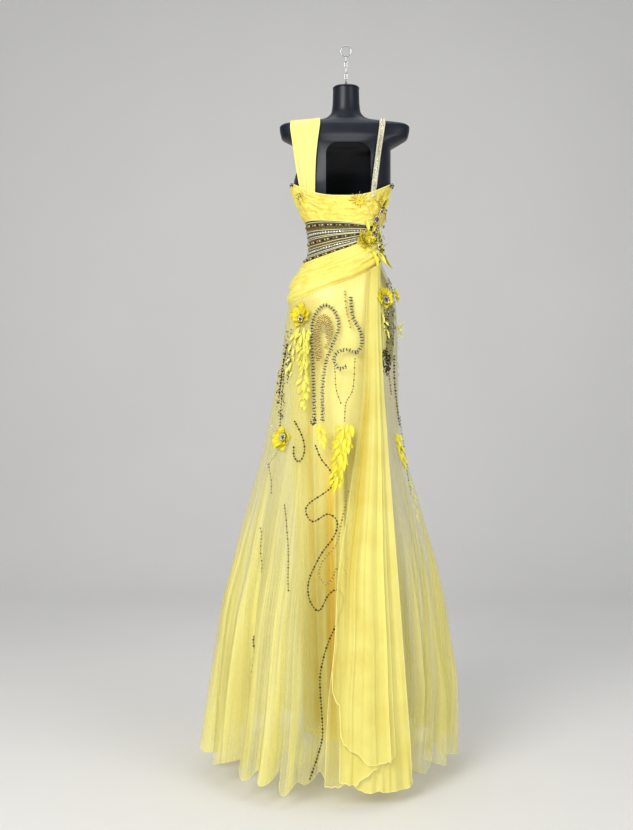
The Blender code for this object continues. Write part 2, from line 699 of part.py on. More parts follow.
def make_skirts():
    """Satin lining, under net and outer net, all sewn to the waist seam."""
    outer = skirt_grid(lining_point, np.linspace(*LINING_SPAN, LINING_COLUMNS), LINING_HEIGHTS)
    wall("satin_lining", outer, inside(outer, SATIN_WALL), "satin")
    for name, first, last in UNDER_PANELS:
        angles = seamed(flute_angles(UNDER_FLUTES, first, last, 3))
        outer = skirt_grid(under_net_point, angles, UNDER_HEIGHTS)
        wall(name, outer, inside(outer, NET_WALL), "net")
    for name, first, last in NET_PANELS:
        angles = seamed(flute_angles(NET_FLUTES, first, last, 4))
        outer = skirt_grid(net_point, angles, NET_HEIGHTS)
        wall(name, outer, inside(outer, NET_WALL), "net")


def train_point(across, fold, height, order):
    """The outside of a layer of the train at a share of its width."""
    left, right = read_row(TRAIN, height)
    open_out = smoothstep((TRAIN_OPEN_TOP - height) / TRAIN_OPEN_REACH)
    leaves = smoothstep((TRAIN[-1][0] - height) / TRAIN_OFF_REACH)
    off = TRAIN_OFF_TOP + (TRAIN_OFF_LOW - TRAIN_OFF_TOP) * leaves
    off += order * (TRAIN_PLY_TOP + TRAIN_PLY_OPENS * open_out) + TRAIN_FOLD_DEPTH * fold * open_out
    off -= TRAIN_SINKS * smoothstep((TRAIN_HOLLOW_TOP - height) / TRAIN_HOLLOW_TOP)
    angle = angle_at(NET_TABLE, left + (right - left) * across, height)
    return section_point(NET_TABLE, angle, height, off)


def make_train():
    for name, order, first, last in TRAIN_LAYERS:
        columns = TRAIN_FOLDS[first : last + 1]
        hem_at, hem_height = zip(*TRAIN_HEMS[name])
        outer = []
        for across, fold in columns:
            hem = float(np.interp(across, hem_at, hem_height))
            top = TRAIN[-1][0]
            for _ in range(6):
                left, right = read_row(TRAIN, top)
                x_top = left + (right - left) * across
                top = sash_bottom(angle_at(NET_TABLE, x_top, top)) - 3 * SEAM
            low = [hem + (TRAIN_HEIGHTS[0] - hem) * k / TRAIN_LOW_ROWS for k in range(TRAIN_LOW_ROWS)]
            high = [HIP_HEIGHT + (top - HIP_HEIGHT) * k / 2 for k in (1, 2)]
            outer.append([train_point(across, fold, h, order) for h in (*low, *TRAIN_HEIGHTS, *high)])
        outer = np.array(outer).transpose(1, 0, 2)
        wall(name, outer, inside(outer, CHIFFON_WALL), "chiffon")


def cross(origin, a, b):
    return (a[0] - origin[0]) * (b[1] - origin[1]) - (a[1] - origin[1]) * (b[0] - origin[0])


def hull(points):
    """The convex hull of flat points, in order against the clock."""
    points = sorted(set(points))
    halves = []
    for order in (points, points[::-1]):
        half = []
        for p in order:
            while len(half) > 1 and cross(half[-2], half[-1], p) <= 0:
                half.pop()
            half.append(p)
        halves.append(half[:-1])
    return halves[0] + halves[1]


def taut_line(back_rows, front_rows, share):
    """A column of a strap, pulled tight over the shoulder, as (x, y, height) points from the back."""
    ends = []
    sides = []
    for rows, on_back in ((back_rows, True), (front_rows, False)):
        angles = np.arange(180.0, 361.0) if on_back else np.arange(180.0, -1.0, -1.0)
        edge = np.array([band_point(a, 1.0, 0.0) for a in angles])
        base = rows[0][0]
        for _ in range(6):
            left, right = read_row(rows, base)
            x = left + (right - left) * share
            near = [float(np.interp(x + d, edge[:, 0], angles)) for d in (-0.005, 0.0, 0.005)]
            base = max(band_edge(a) for a in near) + 2.5 * SEAM
        ends.append((float(np.interp(x, edge[:, 0], edge[:, 1])), base))
        points = []
        for height in np.linspace(base, STRAP_HIGHEST, STRAP_LEVELS):
            left, right = read_row(rows, height)
            x = left + (right - left) * share
            left, right, back, front, square = read_row(BODY, height)
            reach = abs(x - (left + right) / 2) / ((right - left) / 2)
            if reach < 1:
                depth = back if on_back else front
                points.append((float(depth * (1 - reach**square) ** (1 / square)), float(height)))
        sides += points
    ring = hull(sides + ends)
    start = ring.index(ends[0])
    ring = ring[start:] + ring[:start]
    line = [ring[0]] + ring[ring.index(ends[1]):][::-1]
    made = []
    for y, height in line:
        rows = back_rows if y < 0 else front_rows
        left, right = read_row(rows, height)
        made.append((left + (right - left) * share, y, height))
    return np.array(made)


def shared_out(line, count):
    """Points along a line, closer together where it bends, and the way out from it at each."""
    lengths = np.concatenate([[0], np.cumsum(np.linalg.norm(np.diff(line, axis=0), axis=1))])
    fine_at = np.arange(0, lengths[-1], 0.001)
    fine = np.stack([np.interp(fine_at, lengths, line[:, k]) for k in range(3)], axis=1)
    ways = np.unwrap(np.arctan2(np.gradient(fine[:, 2]), np.gradient(fine[:, 1])))
    bends = np.convolve(np.abs(np.gradient(ways)), np.full(BEND_REACH, 1 / BEND_REACH), "same")
    measure = fine_at + BEND_WEIGHT * np.cumsum(bends)
    at = np.linspace(measure[0], measure[-1], count)
    points = np.stack([np.interp(at, measure, fine[:, k]) for k in range(3)], axis=1)
    way = np.gradient(points[:, 1:], axis=0)
    way /= np.linalg.norm(way, axis=1)[:, None]
    return points, np.stack([np.zeros(count), -way[:, 1], way[:, 0]], axis=1)


def make_straps():
    """Each strap goes from the back of the band over the shoulder to its front."""
    for name, (back_rows, front_rows), columns, colour in (
        ("strap_wide", WIDE_STRAP, 5, "chiffon"),
        ("strap_beaded", BEAD_STRAP, 3, "beads"),
    ):
        outer, inner = [], []
        for share in np.linspace(0, 1, columns):
            points, out = shared_out(taut_line(back_rows, front_rows, share), STRAP_ROWS)
            points[:, 2] -= HANG_HEIGHT
            inner.append(points + out * STRAP_CLEAR)
            outer.append(points + out * (STRAP_CLEAR + STRAP_WALL))
        wall(name, np.array(outer).transpose(1, 0, 2), np.array(inner).transpose(1, 0, 2), colour)


def net_heights(angle):
    seam = waist_seam(angle)
    return [*NET_HEIGHTS, *(HIP_HEIGHT + (seam - HIP_HEIGHT) * share for share in SLANT_SHARES)]


def carrier_point(carrier, angle, height, off):
    """A point off the bodice, or off the skirt's ridges, which run straight between its rows."""
    if carrier == "bodice":
        return section_point(BODY, angle, height, off)
    rows = net_heights(angle)
    i = next(k for k in range(1, len(rows)) if height <= rows[k] or k == len(rows) - 1)
    share = (height - rows[i - 1]) / (rows[i] - rows[i - 1])
    low, high = (section_point(NET_TABLE, angle, rows[k], off) for k in (i - 1, i))
    return low + (high - low) * share


def make_patch(carrier, x, height):
    """A function that lays (across, up, off) points on the cloth round a place on the back."""
    table = BODY if carrier == "bodice" else NET_TABLE
    angle = angle_at(table, x, height)
    ends = [carrier_point(carrier, angle + turn, height, 0.0) for turn in (-1.0, 1.0)]
    degrees = 2.0 / float(np.linalg.norm(ends[1] - ends[0]))
    return lambda across, up, off: carrier_point(carrier, angle + across * degrees, height + up, off)


def make_flower(name, carrier, x, height, radius, petals, off):
    """A rosette that follows the cloth: lobed petals that rise round a domed middle."""
    place = make_patch(carrier, x, height)
    steps = petals * 4
    points = [place(0, 0, off + FLOWER_DOME), place(0, 0, off)]
    for share, rise, lobe in FLOWER_RINGS:
        for k in range(steps):
            turn = 2 * math.pi * k / steps
            petal = 1 - FLOWER_NOTCH * (1 - abs(math.cos(petals * turn / 2)))
            reach = radius * share * (1 - lobe + lobe * petal)
            points.append(place(reach * math.cos(turn), reach * math.sin(turn), off + rise))
    faces = []
    for k in range(steps):
        n = (k + 1) % steps
        faces.append((0, 2 + k, 2 + n))
        for r in range(len(FLOWER_RINGS) - 1):
            a, b = 2 + r * steps, 2 + (r + 1) * steps
            faces.append((a + k, b + k, b + n, a + n))
        last = 2 + (len(FLOWER_RINGS) - 1) * steps
        faces.append((1, last + n, last + k))
    add_object(name, points, faces, "petals", 60)


def make_spray(name, carrier, x, height, across, down, half, pairs, off):
    """A strip of paired leaves, or one leaf, laid on the cloth from its root to its tip."""
    place = make_patch(carrier, x, height)
    count = 2 * pairs + 2 if pairs > 1 else 6
    length = math.hypot(across, down)
    side_x, side_up = down / length, across / length
    outer, inner = [], []
    for k in range(count):
        share = k / (count - 1)
        if pairs > 1:
            width = half * (1 - 0.35 * share) * (1.0 if k % 2 else 0.35)
        else:
            width = half * math.sin(math.pi * (0.12 + 0.84 * share))
        width = max(width, LEAF_TIP) if k < count - 1 else LEAF_TIP
        row_out, row_in = [], []
        for edge in (-1, 0, 1):
            u, v = across * share + side_x * width * edge, -down * share + side_up * width * edge
            row_out.append(place(u, v, off + PETAL_WALL + LEAF_RIDGE * (1 - abs(edge))))
            row_in.append(place(u, v, off))
        outer.append(row_out)
        inner.append(row_in)
    wall(name, outer, inner, "petals")


def main():
    for old in list(bpy.data.objects):
        bpy.data.objects.remove(old)
    make_form()
    make_chain()
    make_bodice()
    make_skirts()
    make_train()
    make_straps()
    for row in FLOWERS:
        make_flower(*row)
    for row in SPRAYS:
        make_spray(*row)


main()
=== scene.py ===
"""Looks of the prom dress on its hanging torso form.

Metres, +Z up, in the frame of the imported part: the origin is where the top ring is held and the back
of the dress faces -Y. Heights in the tables are measured up from the hem. Angles run round the body:
0 is the side at +X, 90 the front at +Y, 180 the side at -X and 270 the back at -Y.

Most tables hold whole numbers that scaled() divides by the unit of their column: 1000 makes them
millimetres, 10000 tenths of a millimetre and 100 hundredths of a share or of a metre.
"""

import math

import bmesh
import bpy
import numpy as np
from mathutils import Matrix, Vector
from mathutils.bvhtree import BVHTree


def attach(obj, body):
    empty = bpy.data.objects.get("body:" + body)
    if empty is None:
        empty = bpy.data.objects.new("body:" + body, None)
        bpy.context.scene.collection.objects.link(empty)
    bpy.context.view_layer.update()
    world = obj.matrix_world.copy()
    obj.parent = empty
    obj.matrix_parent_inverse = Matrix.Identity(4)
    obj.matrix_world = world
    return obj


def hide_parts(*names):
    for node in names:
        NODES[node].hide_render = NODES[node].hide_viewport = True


def scaled(units, rows):
    """The rows of a table with each column divided by its unit. A unit of 1 leaves it as it is."""
    return [tuple(v if unit == 1 else v / unit for v, unit in zip(row, units)) for row in rows]


# Sizes of the solids that the cloth lies on
HANG_HEIGHT = 1.900
FORM_WALL = 0.004
FORM_CLEAR = 0.0018
SEAM = 0.0003
NECK_TOP = 1.784
LINING_OFF = 0.0012
UNDER_NET_OFF = 0.0041
NET_OFF = 0.0060
BODICE_OFF = 0.0012
SASH_LOW_OFF = 0.0102
SASH_HIGH_OFF = 0.0032

# Sections. Columns: height, left x, right x, back y, front y, squareness
BODY = scaled((1000, 1000, 1000, 1000, 1000, 100), (
    (1050, -146, 128, -108, 98, 230), (1120, -151, 131, -114, 102, 230), (1190, -148, 130, -113, 102, 230),
    (1250, -138, 117, -104, 98, 230), (1310, -113, 92, -86, 88, 230), (1351, -98, 82, -76, 80, 220),
    (1400, -102, 90, -77, 86, 220), (1432, -109, 97, -80, 98, 220), (1470, -125, 105, -86, 116, 220),
    (1500, -137, 113, -90, 122, 230), (1527, -143, 122, -92, 116, 240), (1580, -130, 122, -92, 94, 240),
    (1620, -128, 122, -86, 80, 240), (1637, -150, 146, -76, 74, 240), (1652, -176, 168, -66, 66, 260),
    (1680, -181, 173, -56, 56, 280), (1687, -174, 166, -52, 52, 280), (1692, -128, 124, -49, 48, 260),
    (1698, -78, 78, -46, 45, 230), (1708, -53, 53, -44, 42, 210), (1724, -41, 41, -40, 38, 200),
    (1750, -38, 38, -38, 36, 200), (1784, -37, 37, -37, 35, 200),
))
NET_SKIRT = scaled((1000, 1000, 1000, 1000, 1000, 100), (
    (0, -389, 288, -357, 335, 200), (100, -375, 292, -342, 325, 200), (200, -360, 288, -325, 310, 200),
    (300, -344, 272, -305, 295, 200), (400, -327, 257, -280, 275, 200), (500, -302, 238, -255, 250, 200),
    (600, -277, 212, -225, 220, 205), (700, -248, 183, -195, 185, 210), (810, -217, 150, -163, 150, 220),
    (900, -200, 138, -147, 132, 225), (1000, -181, 134, -134, 119, 230), (1080, -165, 133, -124, 110, 230),
    (1135, -159, 132, -118, 106, 230), (1200, -149, 128, -112, 102, 230),
))
LINING_SKIRT = scaled((1000, 1000, 1000, 1000, 1000, 100), (
    (65, -114, 100, -150, 115, 210), (400, -128, 106, -138, 112, 215), (700, -142, 118, -126, 108, 220),
    (900, -149, 127, -119, 105, 230), (1000, -150, 130, -115, 103, 230), (1110, -150, 129, -113, 102, 230),
))
HIP_HEIGHT = 1.20
NET_TABLE = NET_SKIRT + [row for row in BODY if row[0] > HIP_HEIGHT]
LINING_TABLE = LINING_SKIRT + [row for row in NET_TABLE if row[0] >= HIP_HEIGHT]

# Columns: angle of a ridge, then of the valley after it the depth at the hem and where it starts
NET_FLUTES = scaled((1, 1000, 100), (
    (190, 50, 80), (207, 68, 90), (232, 26, 72), (241, 30, 80), (250, 22, 64), (258, 30, 76), (268, 22, 60),
    (279, 18, 55), (290, 18, 55), (301, 24, 62), (309, 30, 74), (319, 45, 84), (333, 45, 78), (350, 50, 86),
    (371, 55, 82), (396, 60, 90), (421, 55, 80), (447, 60, 88), (472, 55, 78), (497, 62, 90), (518, 50, 84),
    (535, 40, 76),
))
UNDER_FLUTES = [(197 + 30 * k, 0.036 + 0.004 * (k % 2), 1.0) for k in range(12)]
LINING_FLUTES = scaled((1, 1000, 100), (
    (42, 10, 102), (66, 12, 102), (92, 12, 102), (118, 12, 102), (146, 14, 102), (172, 14, 102),
    (198, 12, 102), (222, 16, 102), (243, 14, 102), (262, 16, 102), (284, 14, 102), (308, 10, 102),
))
# Columns: name, first flute, flute after the last
NET_PANELS = (
    ("net_back_left", 0, 6), ("net_back_right", 6, 12), ("net_front_right", 12, 17),
    ("net_front_left", 17, 22),
)
UNDER_PANELS = (("net_under_back", 0, 6), ("net_under_front", 6, 12))
UNDER_NET_TOP = 1.0
UNDER_NET_INSIDE = 0.078
UNDER_NET_HEM = 0.020
NET_HEM = 0.001
LINING_HEM = 0.065
LINING_SPAN = (42.0, 312.0)

TRAIN_ANGLE = 286
TRAIN_HOLLOW = 0.026
TRAIN_HOLLOW_TOP = 0.88
TRAIN_HOLLOW_REACH = 32
TRAIN_HOLLOW_FADE = 12
# Columns: height, x of the left edge, x of the right edge, both on the back
TRAIN = scaled((1000, 1000, 1000), (
    (0, -61, 156), (200, -52, 140), (350, -36, 128), (500, -28, 116), (660, -6, 104), (840, 17, 92),
    (1000, 34, 83), (1190, 43, 80), (1310, 50, 82),
))
# Columns: share of the train's width, how far the fold stands out there
TRAIN_FOLDS = scaled((100, 10), (
    (0, 9), (5, 2), (10, 0), (16, 5), (22, 9), (28, 5), (34, 1), (42, 5), (49, 10), (56, 6), (63, 1), (68, 3),
    (72, 8), (80, 5), (88, 0), (94, 6), (100, 10),
))
# Columns: name, order out from the skirt, first and last share of the width
TRAIN_LAYERS = (("train_under", 0, 0.0, 1.0), ("train_middle", 1, 0.16, 0.80), ("train_over", 2, 0.0, 0.72))
# Columns: share of the train's width, height of the hem there, both in thousandths
TRAIN_HEMS = {
    "train_under": ((0, 22), (160, 18), (220, 36), (450, 6), (900, 0), (1000, 6)),
    "train_middle": ((160, 36), (340, 26), (490, 52), (720, 74), (800, 85)),
    "train_over": (
        (0, 290), (40, 245), (90, 222), (135, 214), (165, 140), (200, 124), (300, 106), (400, 88), (470, 72),
        (600, 70), (720, 76),
    ),
}
TRAIN_FOLD_DEPTH = 0.014
TRAIN_OFF_TOP = 0.0100
TRAIN_OFF_LOW = 0.0150
TRAIN_OFF_REACH = 0.35
TRAIN_PLY_TOP = 0.0024
TRAIN_PLY_OPENS = 0.0045
TRAIN_OPEN_TOP = 1.25
TRAIN_OPEN_REACH = 1.1
TRAIN_SINKS = 0.022

# Edges round the body: height, how much higher at +X, how much lower at the front and the back
SASH_TOP = (1.353, 0.042, 0.012)
SASH_BOTTOM = (1.265, 0.060, 0.011)
BAND_BOTTOM = (1.414, -0.010, 0.0)
NECKLINE = 1.480
NECKLINE_SIDES = 0.046
NECKLINE_FRONT = 0.020
NECKLINE_CUPS = 0.036
CUP_DEPTH = 0.014
CUP_ACROSS = 0.50
CUP_SPREAD = 0.32
CUP_HEIGHT = 1.482
CUP_RISE = 0.036

# Straps. Columns: height, left x, right x, up the back and up the front
WIDE_STRAP = (
    ((1.500, -0.121, -0.084), (1.541, -0.134, -0.083), (1.581, -0.145, -0.081), (1.623, -0.152, -0.077),
     (1.677, -0.150, -0.070)),
    ((1.530, -0.104, -0.056), (1.600, -0.128, -0.062), (1.677, -0.150, -0.070)),
)
BEAD_STRAP = (
    ((1.500, 0.064, 0.077), (1.600, 0.077, 0.090), (1.677, 0.088, 0.102)),
    ((1.530, 0.062, 0.076), (1.600, 0.074, 0.088), (1.677, 0.088, 0.102)),
)

ARCH_HALF = 0.059
ARCH_TOP = 1.622
ARCH_CORNER = 0.030
ARCH_CENTRE = 0.004
ARCH_DEPTH = (-0.20, -0.030)
ARCH_FOOT = 1.0

RING_RADIUS = 0.014
RING_WIRE = 0.0020
LINK_HEIGHT = 0.0186
LINK_WIDTH = 0.0092
LINK_WIRE = 0.0013
LINK_COUNT = 4
EYE_RADIUS = 0.006
EYE_WIRE = 0.0015
CAP_TOP = 1.7903
CAP_RADIUS = 0.0360
CAP_EDGE = 0.0020
CAP_POST = 0.0035

# The photograph: pixels for a metre at the body's middle, its size, where x = 0 and height 0 lie
PHOTO_SCALE = 370.0
PHOTO_WIDTH = 633
PHOTO_HEIGHT = 830
PHOTO_MIDDLE_X = 346.0
PHOTO_HEM_Y = 750.0
CAMERA_DISTANCE = 2.9
SENSOR = 36.0

UP = np.array([0.0, 0.0, 1.0])
LEVEL = np.array([1.0, 1.0, 0.0])  # leaves only the level part of a way

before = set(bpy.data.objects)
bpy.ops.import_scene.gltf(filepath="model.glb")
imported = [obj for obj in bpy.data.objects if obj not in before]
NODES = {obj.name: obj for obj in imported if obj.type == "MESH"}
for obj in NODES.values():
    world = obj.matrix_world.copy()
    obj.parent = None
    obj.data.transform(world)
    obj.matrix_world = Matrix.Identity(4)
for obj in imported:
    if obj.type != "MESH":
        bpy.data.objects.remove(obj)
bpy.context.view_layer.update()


def smoothstep(t):
    t = np.clip(t, 0.0, 1.0)
    return t * t * (3.0 - 2.0 * t)


def below(height, top, reach):
    """0 above a height, easing to 1 at a reach below it."""
    return smoothstep((top - height) / reach)


def bell(x, middle, spread):
    return np.exp(-(((x - middle) / spread) ** 2))


def wave(turns):
    """0 at a whole turn and 1 halfway to the next."""
    return 0.5 - 0.5 * np.cos(2 * np.pi * turns)


def apart(angle, middle):
    """Degrees from the middle to an angle, the short way round."""
    return (angle - middle + 180) % 360 - 180


def circle(angle):
    return np.cos(np.radians(angle)), np.sin(np.radians(angle))


def eased(rows, at):
    """The columns of a table at each place, eased between its rows so that none overshoots."""
    table = np.array(rows, float)
    places, values = table[:, 0], table[:, 1:]
    at = np.clip(np.asarray(at, float), places[0], places[-1])
    slopes = np.diff(values, axis=0) / np.diff(places)[:, None]
    tangents = np.zeros_like(values)
    tangents[0], tangents[-1] = slopes[0], slopes[-1]
    product, total = slopes[:-1] * slopes[1:], slopes[:-1] + slopes[1:]
    same_way = product > 1e-12
    tangents[1:-1] = np.where(same_way, 2 * product / np.where(same_way, total, 1.0), 0.0)
    i = np.clip(np.searchsorted(places, at, side="right") - 1, 0, len(places) - 2)
    step = (places[i + 1] - places[i])[..., None]
    t = (at - places[i])[..., None] / step
    return (
        (2 * t**3 - 3 * t**2 + 1) * values[i]
        + (t**3 - 2 * t**2 + t) * step * tangents[i]
        + (3 * t**2 - 2 * t**3) * values[i + 1]
        + (t**3 - t**2) * step * tangents[i + 1]
    )


def section(table, angle, height, off):
    """Points on sections of the table, moved out by off. All three may be arrays."""
    angle, height, off = np.broadcast_arrays(np.asarray(angle, float), height, off)
    left, right, back, front, square = np.moveaxis(eased(table, height), -1, 0)
    c, s = circle(angle)
    across, along = (np.sign(v) * np.abs(v) ** (2 / square) for v in (c, s))
    depth = np.where(s > 0, front, -back) + off
    x = (left + right) / 2 + ((right - left) / 2 + off) * across
    return np.stack([x, depth * along, height - HANG_HEIGHT], axis=-1)


def angle_at(table, x, height):
    """The angle at which the back of a section reaches x."""
    left, right, _, _, square = np.moveaxis(eased(table, height), -1, 0)
    share = np.clip((x - (left + right) / 2) / ((right - left) / 2), -0.995, 0.995)
    return 360 - np.degrees(np.arccos(np.sign(share) * np.abs(share) ** (square / 2)))


def flute_dip(flutes, angle, height):
    """How far a fluted skirt lies inside its ridges."""
    ridge, depth, start = np.array(flutes, float).T
    angle = (np.asarray(angle, float) - ridge[0]) % 360 + ridge[0]
    i = np.searchsorted(ridge, angle, side="right") - 1
    ends = np.append(ridge[1:], ridge[0] + 360)
    return depth[i] * wave((angle - ridge[i]) / (ends[i] - ridge[i])) * below(height, start[i], start[i])


def under_train(angle):
    """1 where the train lies on the net, so that its folds stay flat there."""
    return below(np.abs(apart(angle, TRAIN_ANGLE)), TRAIN_HOLLOW_REACH, TRAIN_HOLLOW_FADE)


def train_hollow(angle, height):
    """How far the nets are pressed in under the train."""
    return TRAIN_HOLLOW * under_train(angle) * below(height, TRAIN_HOLLOW_TOP, TRAIN_HOLLOW_TOP)


def edge_height(edge, angle):
    level, tilt, dip = edge
    c, s = circle(angle)
    return level + tilt * c - dip * np.abs(s)


def waist_seam(angle):
    return 0.5 * (edge_height(SASH_TOP, angle) + edge_height(SASH_BOTTOM, angle))


def band_top(angle):
    """The neckline: low across the back, higher at the sides and over the cups in front."""
    c, s = circle(angle)
    front = np.maximum(s, 0) * (NECKLINE_FRONT + NECKLINE_CUPS * bell(np.abs(c), CUP_ACROSS, CUP_SPREAD))
    return NECKLINE + NECKLINE_SIDES * np.abs(c) ** 2.5 + front


def cup(angle, height):
    c, s = circle(angle)
    side = bell(np.abs(c), CUP_ACROSS, CUP_SPREAD)
    return CUP_DEPTH * side * bell(height, CUP_HEIGHT, CUP_RISE) * np.maximum(s, 0)


def band_surface(angle, share, off):
    """The bust band, from its lower edge at 0 to its upper edge at 1."""
    low = edge_height(BAND_BOTTOM, angle)
    height = low + (band_top(angle) - low) * share
    return section(BODY, angle, height, BODICE_OFF + off + cup(angle, height))


def waist_surface(angle, share, off):
    """The sheer waist, from the top of the sash at 0 to the band at 1."""
    low, high = edge_height(SASH_TOP, angle) - 0.004, edge_height(BAND_BOTTOM, angle) - SEAM
    return section(BODY, angle, low + (high - low) * share, BODICE_OFF + off)


def sash_off(share):
    return SASH_LOW_OFF + (SASH_HIGH_OFF - SASH_LOW_OFF) * smoothstep((share - 0.5) / 0.5)


def sash_surface(angle, share, off):
    low, high = edge_height(SASH_BOTTOM, angle), edge_height(SASH_TOP, angle)
    return section(NET_TABLE, angle, low + (high - low) * share, sash_off(share) + off)


def troughs(table, along, across):
    """Soft creases of a table: place along, place across, lean, half width, half length, how far out."""
    total = np.zeros(np.broadcast(along, across).shape)
    for place, level, lean, half_width, half_length, depth in table:
        gap = (across - level - lean * (along - place)) / half_width
        total += depth * np.exp(-(gap**2)) * np.exp(-(((along - place) / half_length) ** 4))
    return total


def uneven(across, along, cells, rows, seed):
    """Smooth uneven values from -1 to 1. Across repeats every 360, along runs from 0 to 1."""
    table = np.random.default_rng(seed).uniform(-1, 1, (rows + 1, cells))
    u = np.asarray(across, float) / 360 * cells
    v = np.clip(along, 0.0, 0.9999) * rows
    i, j = np.floor(u).astype(int), np.floor(v).astype(int)
    s, t = smoothstep(u - i), smoothstep(v - j)
    low = table[j, i % cells] * (1 - s) + table[j, (i + 1) % cells] * s
    high = table[j + 1, i % cells] * (1 - s) + table[j + 1, (i + 1) % cells] * s
    return low * (1 - t) + high * t


def unit(vectors):
    return vectors / np.maximum(np.linalg.norm(vectors, axis=-1, keepdims=True), 1e-12)


def towards(turn, side, up):
    return np.cos(turn) * side + np.sin(turn) * up


def grid_normals(points, closed=False):
    """Outward normals of a grid whose columns run round and whose rows run up."""
    if closed:
        along = np.roll(points, -1, axis=1) - np.roll(points, 1, axis=1)
    else:
        along = np.gradient(points, axis=1)
    return unit(np.cross(along, np.gradient(points, axis=0)))


def path_places(path):
    """How far along a path each of its points lies."""
    return np.concatenate([[0], np.cumsum(np.linalg.norm(np.diff(path, axis=0), axis=1))])


def at_places(path, places, wanted):
    return np.stack([np.interp(wanted, places, column) for column in path.T], axis=1)


def even_steps(path, spacing):
    """Points at even steps along a path of any dimension."""
    places = path_places(path)
    count = max(2, int(round(places[-1] / spacing)) + 1)
    return at_places(path, places, np.linspace(0, places[-1], count))


def smooth_path(points, steps=14):
    """A curve through the points, without corners."""
    ends = np.concatenate([2 * points[:1] - points[1:2], points, 2 * points[-1:] - points[-2:-1]])
    t = np.linspace(0, 1, steps, endpoint=False)[:, None]
    runs = [
        0.5 * (2 * b + (c - a) * t + (2 * a - 5 * b + 4 * c - d) * t**2 + (3 * b - a - 3 * c + d) * t**3)
        for a, b, c, d in zip(ends[:-3], ends[1:-2], ends[2:-1], ends[3:])
    ]
    return np.concatenate(runs + [points[-1:]])


def mesh_object(name, points, faces, materials, face_materials=None, smooth=True):
    mesh = bpy.data.meshes.new(name)
    mesh.from_pydata(np.asarray(points, float).reshape(-1, 3), [], faces)
    for material in materials:
        mesh.materials.append(material)
    if face_materials is not None:
        mesh.polygons.foreach_set("material_index", np.asarray(face_materials, np.int32))
    if smooth:
        mesh.shade_smooth()
    return linked(name, mesh)


def linked(name, data):
    made = bpy.data.objects.new(name, data)
    bpy.context.scene.collection.objects.link(made)
    return made


def grid_faces(rows, columns, closed=False):
    index = np.arange(rows * columns).reshape(rows, columns)
    left = index if closed else index[:, :-1]
    right = np.roll(index, -1, axis=1) if closed else index[:, 1:]
    return np.stack([left[:-1], right[:-1], right[1:], left[1:]], axis=-1).reshape(-1, 4)


def grid_object(name, points, material, uv, density=None, tone=None):
    """A sheet of cloth from a grid of points. uv holds metres across and up for each point.

    density says how little light passes a point, and tone how much deeper its colour is, as shade painted
    into fold hollows, or lighter where it is below 0, as a painted highlight.
    """
    faces = grid_faces(*points.shape[:2])
    made = mesh_object(name, points, faces, [MATERIALS[material]])
    layer = made.data.uv_layers.new(name="cloth")
    layer.data.foreach_set("uv", uv.reshape(-1, 2)[faces.ravel()].astype(np.float32).ravel())
    for label, values in (("net_weight", density), ("painted_fold_shading", tone)):
        if values is not None:
            layer = made.data.attributes.new(label, "FLOAT", "POINT")
            layer.data.foreach_set("value", values.astype(np.float32).ravel())
    return made


def piece(made, nodes):
    """Says that a mesh belongs to the part and which solids it stands for."""
    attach(made, "root")
    if nodes:
        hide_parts(*nodes)


BEAD_MATERIALS = ("silver", "pearl", "gold", "bronze", "gem")


class Pile:
    """Many small meshes that are joined into one piece. Each has the number or bead name of its material."""

    def __init__(self):
        self.points, self.faces, self.kinds, self.count = [], [], [], 0

    def add(self, points, faces, kind=0):
        points = np.asarray(points, float).reshape(-1, 3)
        self.points.append(points)
        self.faces += [tuple(int(v) + self.count for v in face) for face in faces]
        self.kinds += [BEAD_MATERIALS.index(kind) if isinstance(kind, str) else kind] * len(faces)
        self.count += len(points)

    def scatter(self, shape, at, along, out, size, kind=0):
        """Copies of a shape at many places. Its X lies along, its Z points out."""
        at, along, out = (np.asarray(a, float).reshape(-1, 3) for a in (at, along, out))
        out = unit(out)
        side = unit(np.cross(out, along))
        ways = np.stack(np.broadcast_arrays(np.cross(side, out), side, out), axis=-2)
        points, faces = shape
        size = np.broadcast_to(np.asarray(size, float), (len(at), 3))
        spread = points[None] * size[:, None, :]
        placed = at[:, None] + sum(spread[..., k : k + 1] * ways[:, None, k] for k in range(3))
        for k in range(len(at)):
            self.add(placed[k], faces, kind)

    def grid(self, points, kind=0, closed=False):
        self.add(points, grid_faces(*points.shape[:2], closed), kind)

    def tube(self, path, radius, out, sides=6, closed=False):
        """A round cord along a path; out is any direction that is never along it."""
        path = np.asarray(path, float)
        if closed:
            along = unit(np.roll(path, -1, axis=0) - np.roll(path, 1, axis=0))
        else:
            along = unit(np.gradient(path, axis=0))
        side = unit(np.cross(along, np.broadcast_to(out, path.shape)))
        up = np.cross(side, along)
        turn = 2 * np.pi * np.arange(sides)[:, None] / sides
        radius = np.broadcast_to(np.asarray(radius, float), (len(path),))[:, None, None]
        points = path[:, None] + radius * towards(turn, side[:, None], up[:, None])
        if closed:
            points = np.concatenate([points, points[:1]])
        faces = [tuple(f) for f in grid_faces(len(points), sides, closed=True)]
        if not closed:
            last = (len(points) - 1) * sides
            faces += [tuple(range(sides))[::-1], tuple(last + k for k in range(sides))]
        self.add(points, faces)

    def piece(self, name, materials, slot, nodes=(), smooth=True):
        """Joins them into a piece of the part."""
        looks = [MATERIALS[material] for material in materials]
        made = mesh_object(name, np.concatenate(self.points), self.faces, looks, self.kinds, smooth)
        piece(made, nodes)
        return made


